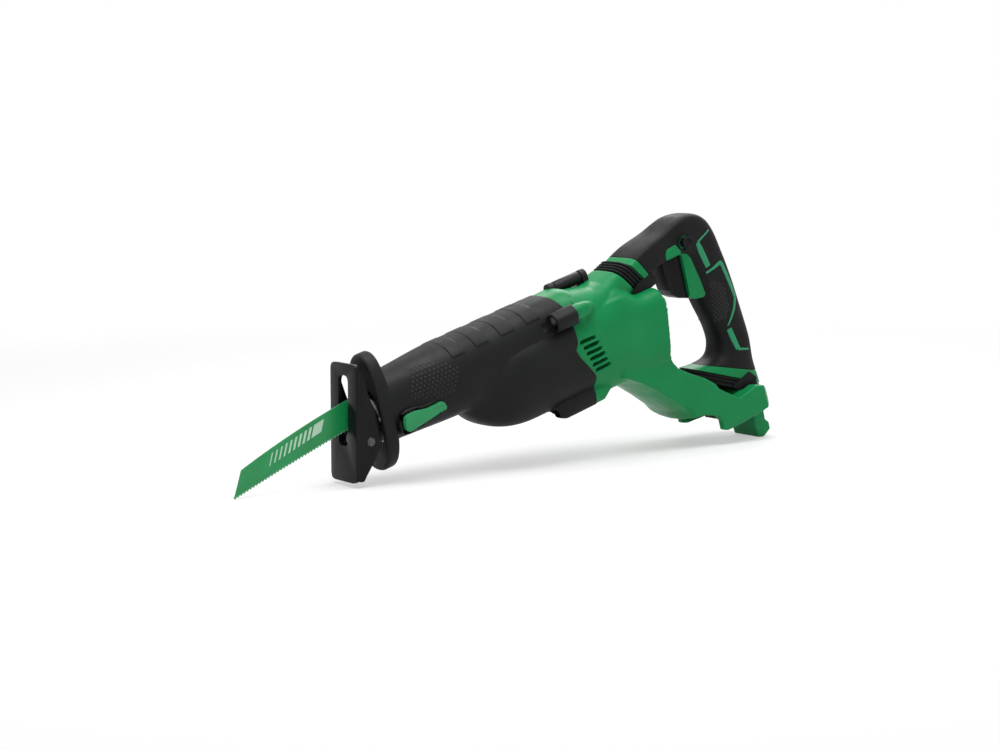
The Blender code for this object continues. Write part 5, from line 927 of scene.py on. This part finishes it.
def newTree(name, inputs):
    # A node tree with geometry in and out and its own named inputs.
    tree = bpy.data.node_groups.new(name, "GeometryNodeTree")
    for label, kind in {"Geometry": "Geometry", **inputs, "Finish": "Material"}.items():
        tree.interface.new_socket(label, in_out="INPUT", socket_type="NodeSocket" + kind)
    tree.interface.new_socket("Geometry", in_out="OUTPUT", socket_type="NodeSocketGeometry")
    return tree, addNode(tree, "NodeGroupInput").outputs


def closeTree(tree, made, given):
    # Every tree ends as plain mesh with its finish on it.
    real = addNode(tree, "GeometryNodeRealizeInstances", {"Geometry": made.outputs["Instances"]})
    paint = addNode(tree, "GeometryNodeSetMaterial", {
        "Geometry": real.outputs["Geometry"], "Material": given["Finish"]})
    addNode(tree, "NodeGroupOutput", {"Geometry": paint.outputs["Geometry"]})
    return tree


def runTree(solid, tree, values):
    change = solid.modifiers.new(tree.name, "NODES")
    change.node_group = tree
    for item in tree.interface.items_tree:
        if item.item_type == "SOCKET" and item.in_out == "INPUT" and item.name in values:
            change[item.identifier] = values[item.name]
    return bake(solid)


def toothTree():
    tree, given = newTree("bladeTeeth", {
        "Start": "Vector", "Middle": "Vector", "End": "Vector", "Count": "Int"})
    ends = {label: given[label] for label in ("Start", "Middle", "End")}
    edge = addNode(tree, "GeometryNodeCurveQuadraticBezier", {"Resolution": 64, **ends})
    places = addNode(tree, "GeometryNodeResampleCurve", {
        "Curve": edge.outputs["Curve"], "Count": given["Count"]})
    teeth = addNode(tree, "GeometryNodeInstanceOnPoints", {
        "Points": places.outputs["Curve"], "Instance": given["Geometry"]})
    return closeTree(tree, teeth, given)


def makeTeeth():
    # One tooth, a little thicker than the blade, repeated along its edge.
    count, tall, half = blade["teeth"], blade["toothTall"], blade["half"] * 1.15
    pitch = (blade["heel"] - blade["tip"][0]) / count
    profile = ((-0.5 * pitch, tall), (-0.44 * pitch, 0.0), (-0.30 * pitch, 0.05), (0.5 * pitch, tall))
    tooth = slab("bladeTeeth", profile, -half, half)
    first, middle, last = [bladeEdge(share) for share in (0.5 / count, 0.5, 1 - 0.5 / count)]
    bend = [2 * m - (a + b) / 2 for a, m, b in zip(first, middle, last)]
    values = {label: (x, 0.0, z) for label, (x, z) in (("Start", first), ("Middle", bend), ("End", last))}
    runTree(tooth, toothTree(), {**values, "Count": count, "Finish": finish["toothSteel"]})
    finishPiece(tooth, "toothSteel", "plunger")


# Rafter hook, folded over the top

hook = {"x": (270.6, 301.4), "y": 10.0, "z": 29.5, "radius": 6.0, "bore": 2.6, "out": 46.5, "low": -4.0,
        "plate": 4.5, "slope": 22.0, "turn": 8.0, "arm": (284.5, 299.5),
        "cheekX": (263.6, 302.0), "cheekWide": 6.4, "earRadius": 6.2, "earFoot": ((2.5, 12.0), (17.5, 12.0)),
        "saddle": ((2.0, 10.0), (18.0, 10.0), (17.0, 22.6), (3.0, 22.6)), "saddleX": (266.0, 306.0)}


def makeHook():
    (x0, x1), y, z, radius = hook["x"], hook["y"], hook["z"], hook["radius"]
    profile = ((x0, 0.8), (x0 + 0.4, 0.3), (x0 + 1.0, 0.0), (x1 - 1.0, 0.0), (x1 - 0.4, 0.3), (x1, 0.8))
    knuckle = turned("rafterHook", y, z, [(x, radius - inset) for x, inset in profile], "x", 48)
    # The strap leaves the knuckle, slopes down over the right side and turns straight down.
    slope, turn, plate, low = math.radians(hook["slope"]), hook["turn"], hook["plate"], hook["low"]
    top = z + radius - 0.4
    drop = (hook["out"] - turn - y) * math.tan(slope)
    middle = np.array((hook["out"] - turn, top - drop - turn / math.cos(slope)))
    swing = math.pi / 2 - slope
    faces = []
    for size in (turn, turn - plate):
        arc = [swing - swing * k / 12 for k in range(13)]
        face = [tuple(middle + size * np.array((math.cos(a), math.sin(a)))) for a in arc]
        face += [(middle[0] + size, low + 1.5), (middle[0] + mix(size, turn - plate / 2, 0.6), low)]
        faces.append(face)
    strap = [(y, top)] + faces[0] + faces[1][::-1] + [(y, top - plate / math.cos(slope))]
    knuckle = join(knuckle, slab("hookArm", strap, *hook["arm"], "x", edge=0.9))
    bore = slab("bore", oval(y, z, hook["bore"], count=48), x0 - 5.0, x1 + 5.0, "x")
    return finishPiece(cut(knuckle, bore), "hookRubber", "rafter_hook", ("rafter_hook",))


def makeCradle():
    # Two cheeks and a saddle that carry the hook's pin.
    y, z = hook["y"], hook["z"]
    ear = list(hook["earFoot"]) + oval(y, z, hook["earRadius"], count=17, turn=math.pi)
    cheeks = [slab("hookCradle", ear, x, x + hook["cheekWide"], "x", edge=0.7) for x in hook["cheekX"]]
    saddle = slab("saddle", rounded(hook["saddle"], 1.0), *hook["saddleX"], "x")
    bore = slab("pinBore", oval(y, z, hook["bore"], count=32), 255.0, 315.0, "x")
    cradle = cut(join(*cheeks, saddle), bore)
    return finishPiece(cradle, "hookRubber", "frame")


# Ribbed rubber joints between housing and handle

bellows = {
    "upperFrom": (332.6, 15.6), "upperTo": (346.4, 19.9), "upperHalf": (22.4, 16.6), "upperRake": 34.0,
    "upperRibs": 4, "upperPower": 3.4, "upperAround": 120,
    "lowerFrom": (431.0, -120.0), "lowerDrop": 11.0, "lowerHalf": (21.2, 47.6), "lowerSlope": -30.0,
    "lowerRibs": 3, "lowerPower": 2.8, "lowerAround": 160,
    "ribSize": 1.25, "sleeveInset": 1.7, "wall": 2.0, "overrun": 0.42,
    "upperWedge": ((335.0, 3.0), (343.5, 9.0), (347.4, 10.6), (363.7, 13.6), (367.0, 5.6), (366.0, 2.0),
                   (347.0, -3.0), (337.0, -2.0)),
    "lowerWedge": ((426.0, -128.5), (434.6, -135.8), (457.5, -134.6), (459.5, -131.0), (452.0, -122.5),
                   (444.0, -124.0)),
    "wedgeSide": (8.0, 21.6),
}


def jointWedges(name):
    # Wedge-shaped ends of the rubber joint, one on each side.
    return mirrored(name, rounded(bellows[name], 0.8, 3), *bellows["wedgeSide"], edge=0.6)


def ribTree():
    # A rib swept round a closed line and repeated between two places.
    tree, given = newTree("bellowsRibs", {
        "First": "Vector", "Step": "Vector", "Count": "Int", "Rib Size": "Float"})
    line = addNode(tree, "GeometryNodeMeshToCurve", {"Mesh": given["Geometry"]})
    section = addNode(tree, "GeometryNodeCurvePrimitiveCircle", {"Resolution": 10, "Radius": given["Rib Size"]})
    sweep = addNode(tree, "GeometryNodeCurveToMesh", {
        "Curve": line.outputs["Curve"], "Profile Curve": section.outputs["Curve"]})
    row = addNode(tree, "GeometryNodeMeshLine", mode="OFFSET", inputs={
        "Count": given["Count"], "Start Location": given["First"], "Offset": given["Step"]})
    ribs = addNode(tree, "GeometryNodeInstanceOnPoints", {
        "Points": row.outputs["Mesh"], "Instance": sweep.outputs["Mesh"]})
    return closeTree(tree, ribs, given)


def ringLine(name, ring):
    mesh = bpy.data.meshes.new(name)
    count = len(ring)
    mesh.from_pydata([tuple(p) for p in ring], [(k, (k + 1) % count) for k in range(count)], [])
    return showObject(name, mesh)


def sleeveAndRibs(name, start, step, ribs, ring):
    # A closed sleeve under evenly spaced ribs.
    inner, wall, overrun = bellows["sleeveInset"], bellows["wall"], bellows["overrun"]
    path = [start - step * overrun, start + step * (ribs - 1 + overrun)]
    outside = [ring(inner) + mix(path[0], path[1], k / 6) for k in range(7)]
    inside = [ring(inner + wall) + mix(path[0], path[1], k / 6) for k in range(6, -1, -1)]
    sleeve = loft(name + "Sleeve", outside + inside, closed=True)
    rib = ringLine(name + "Ribs", ring(bellows["ribSize"]))
    runTree(rib, ribTree(), {"First": tuple(start), "Step": tuple(step), "Count": ribs,
                             "Rib Size": bellows["ribSize"], "Finish": finish["gripRubber"]})
    return together(name, [sleeve, rib])


def jointRing(half, power, heading, around):
    return lambda inset: ovalRing(0.0, 0.0, half[0] - inset, half[1] - inset, power, heading, around=around)


def makeBellows():
    rake = math.radians(bellows["upperRake"])
    first = np.array((bellows["upperFrom"][0], 0.0, bellows["upperFrom"][1]))
    last = np.array((bellows["upperTo"][0], 0.0, bellows["upperTo"][1]))
    ribs = bellows["upperRibs"]
    step = (last - first) / ribs
    ring = jointRing(bellows["upperHalf"], bellows["upperPower"], rake, bellows["upperAround"])
    upper = sleeveAndRibs("upperJoint", first + step / 2, step, ribs, ring)
    upper = together("upperJoint", [upper] + jointWedges("upperWedge"))
    finishPiece(upper, "gripRubber", None, ("upper_bellows",))
    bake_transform(upper)

    slope = math.radians(bellows["lowerSlope"])
    down = np.array((math.sin(slope), 0.0, -math.cos(slope)))
    top = np.array((bellows["lowerFrom"][0], 0.0, bellows["lowerFrom"][1]))
    ribs = bellows["lowerRibs"]
    step = down * bellows["lowerDrop"] / ribs
    ring = jointRing(bellows["lowerHalf"], bellows["lowerPower"], slope - math.pi / 2, bellows["lowerAround"])
    lower = sleeveAndRibs("lowerJoint", top + step / 2, step, ribs, ring)
    lower = together("lowerJoint", [lower] + jointWedges("lowerWedge"))
    finishPiece(lower, "gripRubber", None, ("lower_bellows",))
    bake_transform(lower)


# Moulded dots on the cover's nose and on the grip

dots = {"noseCorners": ((85.0, 27.0), (107.0, 25.0), (123.0, 12.0), (113.0, -5.0), (93.0, -5.0), (70.0, 2.5)),
        "gripCorners": ((434.0, -21.0), (449.5, -28.0), (449.0, -56.0), (440.0, -64.5), (431.0, -62.0),
                        (429.5, -36.0)),
        "nosePitch": 4.2, "gripPitch": 3.4, "size": 1.35, "rise": 0.40}


def dotTree():
    tree, given = newTree("mouldedDots", {"Size": "Float", "Rise": "Float"})
    ball = addNode(tree, "GeometryNodeMeshIcoSphere", {"Radius": 1.0, "Subdivisions": 2})
    shape = addNode(tree, "ShaderNodeCombineXYZ", {"X": given["Size"], "Y": given["Size"], "Z": given["Rise"]})
    facing = addNode(tree, "GeometryNodeInputNamedAttribute", {"Name": "facing"}, data_type="FLOAT_VECTOR")
    stand = addNode(tree, "FunctionNodeAlignRotationToVector", axis="Z", inputs={
        "Vector": facing.outputs["Attribute"]})
    spread = addNode(tree, "GeometryNodeInstanceOnPoints", {
        "Points": given["Geometry"], "Instance": ball.outputs["Mesh"],
        "Rotation": stand.outputs["Rotation"], "Scale": shape.outputs["Vector"]})
    return closeTree(tree, spread, given)


def insideOutline(x, z, corners):
    odd = False
    for k, (xa, za) in enumerate(corners):
        xb, zb = corners[k - 1]
        if (za > z) != (zb > z) and x < (xb - xa) * (z - za) / (zb - za) + xa:
            odd = not odd
    return odd


def makeDots(name, corners, pitch, tree, body, group):
    # Places on the surface, each with the way it faces.
    places, ways = [], []
    xs, zs = zip(*corners)
    for side in (-1, 1):
        for row, z in enumerate(np.arange(min(zs), max(zs), pitch * 0.8)):
            for x in np.arange(min(xs) + (row % 2) * pitch / 2, max(xs), pitch):
                if not insideOutline(x, z, corners):
                    continue
                hit, normal = tree.ray_cast(Vector((x, side * 60.0, z)), Vector((0.0, -side, 0.0)))[:2]
                if hit is not None:
                    places.append(tuple(hit))
                    ways.append(tuple(normal))
    mesh = bpy.data.meshes.new(name)
    mesh.from_pydata(places, [], [])
    facing = mesh.attributes.new("facing", "FLOAT_VECTOR", "POINT")
    facing.data.foreach_set("vector", np.array(ways, float).ravel())
    points = showObject(name, mesh)
    runTree(points, group, {"Size": dots["size"], "Rise": dots["rise"], "Finish": finish["dotRubber"]})
    return finishPiece(points, "dotRubber", body)


def noseSurface():
    # The cover's plain surface, to lay the dots on.
    plain = loft("nosePlain", sectionGrid(coverGap, np.arange(60.0, 135.0, 1.5), 200))
    tree = surfaceTree(plain)
    bpy.data.objects.remove(plain, do_unlink=True)
    return tree


contacts = {
    "outline": ((416.4, -159.8), (417.6, -160.6), (429.8, -160.6), (429.8, -153.6), (417.6, -153.6),
                (416.4, -154.4)),
    "y": (-13.0, 0.0, 13.0), "half": 0.6,
    "nodes": ("contact_blade_1", "contact_blade_2", "contact_blade_3"),
}


def makeContacts():
    # Short blades in the contact block, with thinned fronts.
    half = contacts["half"]
    blades = [slab("contactBlades", contacts["outline"], y - half, y + half, edge=0.25, segments=2)
              for y in contacts["y"]]
    finishPiece(together("contactBlades", blades), "contactMetal", "frame", contacts["nodes"])


# Make the pieces

makeCover()
makeLever()
makeLeverPin()
print("cover made")
makeHousing()
print("housing made")
gripSkin = makeGrip()
gripTree = surfaceTree(gripSkin)
makeCore()
makeAccents(gripTree)
finishPiece(gripSkin, "gripRubber", "handle", ("grip_left", "grip_right"))
makeTrigger()
makeBezel()
makeLock()
makeBellows()
print("handle made")
makeShoe()
makeBlade()
makeHook()
makeCradle()
makeContacts()
dotGroup = dotTree()
makeDots("noseDots", dots["noseCorners"], dots["nosePitch"], noseSurface(), "frame", dotGroup)
makeDots("gripDots", dots["gripCorners"], dots["gripPitch"], gripTree, "handle", dotGroup)
print("small pieces made")

# CAD nodes that keep their own shape take these finishes.
nodeFinish = {
    "blackPlastic": ("switch_unit", "cooling_fan", "terminal_block"),
    "brightSteel": ("plunger", "blade_holder", "blade_pin", "clamp_spring", "clamp_sleeve", "shoe_post",
                    "hook_pin", "handle_pivot_pin", "case_bolt_1", "case_bolt_2", "case_bolt_3", "case_bolt_4",
                    "rotor_shaft", "rotor_core", "drive_pinion", "wobble_shaft", "drive_gear", "wobble_hub",
                    "wobble_ring", "damper_spring", "trigger_spring", "wobble_front_bearing",
                    "wobble_rear_bearing", "motor_front_bearing", "motor_rear_bearing", "stator_core"),
    "wornSteel": ("shoe_pin_left", "shoe_pin_right"),
    "castAlloy": ("gear_case", "gear_case_cover"),
    "bronze": ("guide_sleeve", "rear_bush"),
    "copperWire": ("stator_winding",),
    "boardGreen": ("control_board",),
}
for finishName, nodeNames in nodeFinish.items():
    for nodeName in nodeNames:
        for slot in bpy.data.objects[nodeName].material_slots:
            slot.material = finish[finishName]
print("finishes assigned")

# Floor, light and camera
studio = {
    "floorHalf": 6.0, "floorTone": 0.86, "floorRough": 0.9, "floorGloss": 0.1,
    "fadeFrom": 0.55, "fadeTo": 1.5, "nearFade": 0.46, "worldLight": 0.34,
    "cameraPlace": (-1.06818, -1.47301, 0.30084), "cameraTurn": (83.1586, 0.4786, -35.5014), "lens": 72.0,
    # place, aim, size and power of each lamp
    "lamps": {"topSoftbox": ((-0.1, -0.15, 1.5), (0.0, 0.0, 0.08), (1.4, 1.0), 25.0),
              "sideFill": ((-1.3, -1.5, 0.7), (0.0, 0.0, 0.1), (1.0, 1.0), 4.0),
              "rearRim": ((0.9, 0.8, 0.9), (0.05, 0.0, 0.12), (0.8, 0.8), 7.0)},
}


def seenRays(tree):
    # Rays that show the white backdrop: straight from the camera, or by way of gloss and glass.
    path = addNode(tree, "ShaderNodeLightPath").outputs
    either = path["Is Camera Ray"]
    for label in ("Is Glossy Ray", "Is Transmission Ray"):
        larger = addNode(tree, "ShaderNodeMath", {0: either, 1: path[label]}, operation="MAXIMUM")
        either = larger.outputs["Value"]
    return either


def makeFloor():
    half = studio["floorHalf"]
    mesh = bpy.data.meshes.new("floor")
    corners = [(-half, -half, 0), (half, -half, 0), (half, half, 0), (-half, half, 0)]
    mesh.from_pydata(corners, [], [(0, 1, 2, 3)])
    floor = showObject("floor", mesh)
    material, tree, shader = newFinish("paleFloor")
    shader.inputs["Base Color"].default_value = (studio["floorTone"],) * 3 + (1.0,)
    shader.inputs["Roughness"].default_value = studio["floorRough"]
    shader.inputs["Specular IOR Level"].default_value = studio["floorGloss"]
    # Away from the saw the floor runs out into the white backdrop.
    place = addNode(tree, "ShaderNodeTexCoord").outputs["Object"]
    reach = addNode(tree, "ShaderNodeVectorMath", {0: place}, operation="LENGTH")
    fade = addNode(tree, "ShaderNodeMapRange", interpolation_type="SMOOTHSTEP", inputs={
        "Value": reach.outputs["Value"], "From Min": studio["fadeFrom"], "From Max": studio["fadeTo"],
        "To Min": studio["nearFade"]})
    seen = addNode(tree, "ShaderNodeMath", {0: fade.outputs["Result"], 1: seenRays(tree)}, operation="MULTIPLY")
    white = addNode(tree, "ShaderNodeEmission")
    blend = addNode(tree, "ShaderNodeMixShader", {
        "Fac": seen.outputs["Value"], 1: shader.outputs["BSDF"], 2: white.outputs["Emission"]})
    tree.links.new(blend.outputs["Shader"], tree.nodes["Material Output"].inputs["Surface"])
    mesh.materials.append(material)


def makeWorld():
    world = bpy.data.worlds.new("studio")
    bpy.context.scene.world = world
    world.use_nodes = True
    tree = world.node_tree
    soft = tree.nodes["Background"]
    white = addNode(tree, "ShaderNodeBackground")
    for light, strength in ((soft, studio["worldLight"]), (white, 1.0)):
        light.inputs["Color"].default_value = (1.0, 1.0, 1.0, 1.0)
        light.inputs["Strength"].default_value = strength
    blend = addNode(tree, "ShaderNodeMixShader", {
        "Fac": seenRays(tree), 1: soft.outputs["Background"], 2: white.outputs["Background"]})
    tree.links.new(blend.outputs["Shader"], tree.nodes["World Output"].inputs["Surface"])


def addLamp(name, place, aim, size, power):
    lamp = bpy.data.lights.new(name, "AREA")
    lamp.shape = "RECTANGLE"
    lamp.size, lamp.size_y = size
    lamp.energy = power
    holder = showObject(name, lamp)
    holder.location = place
    holder.rotation_euler = (Vector(aim) - Vector(place)).to_track_quat("-Z", "Y").to_euler()


def addCamera():
    lens = bpy.data.cameras.new("photoCamera")
    lens.lens = studio["lens"]
    lens.sensor_width = 36.0
    lens.clip_end = 30.0
    camera = showObject("photoCamera", lens)
    camera.location = studio["cameraPlace"]
    camera.rotation_euler = [math.radians(turn) for turn in studio["cameraTurn"]]
    bpy.context.scene.camera = camera


makeFloor()
makeWorld()
for lampName, settings in studio["lamps"].items():
    addLamp(lampName, *settings)
addCamera()
bpy.context.scene.view_settings.view_transform = "Standard"
print("studio ready")
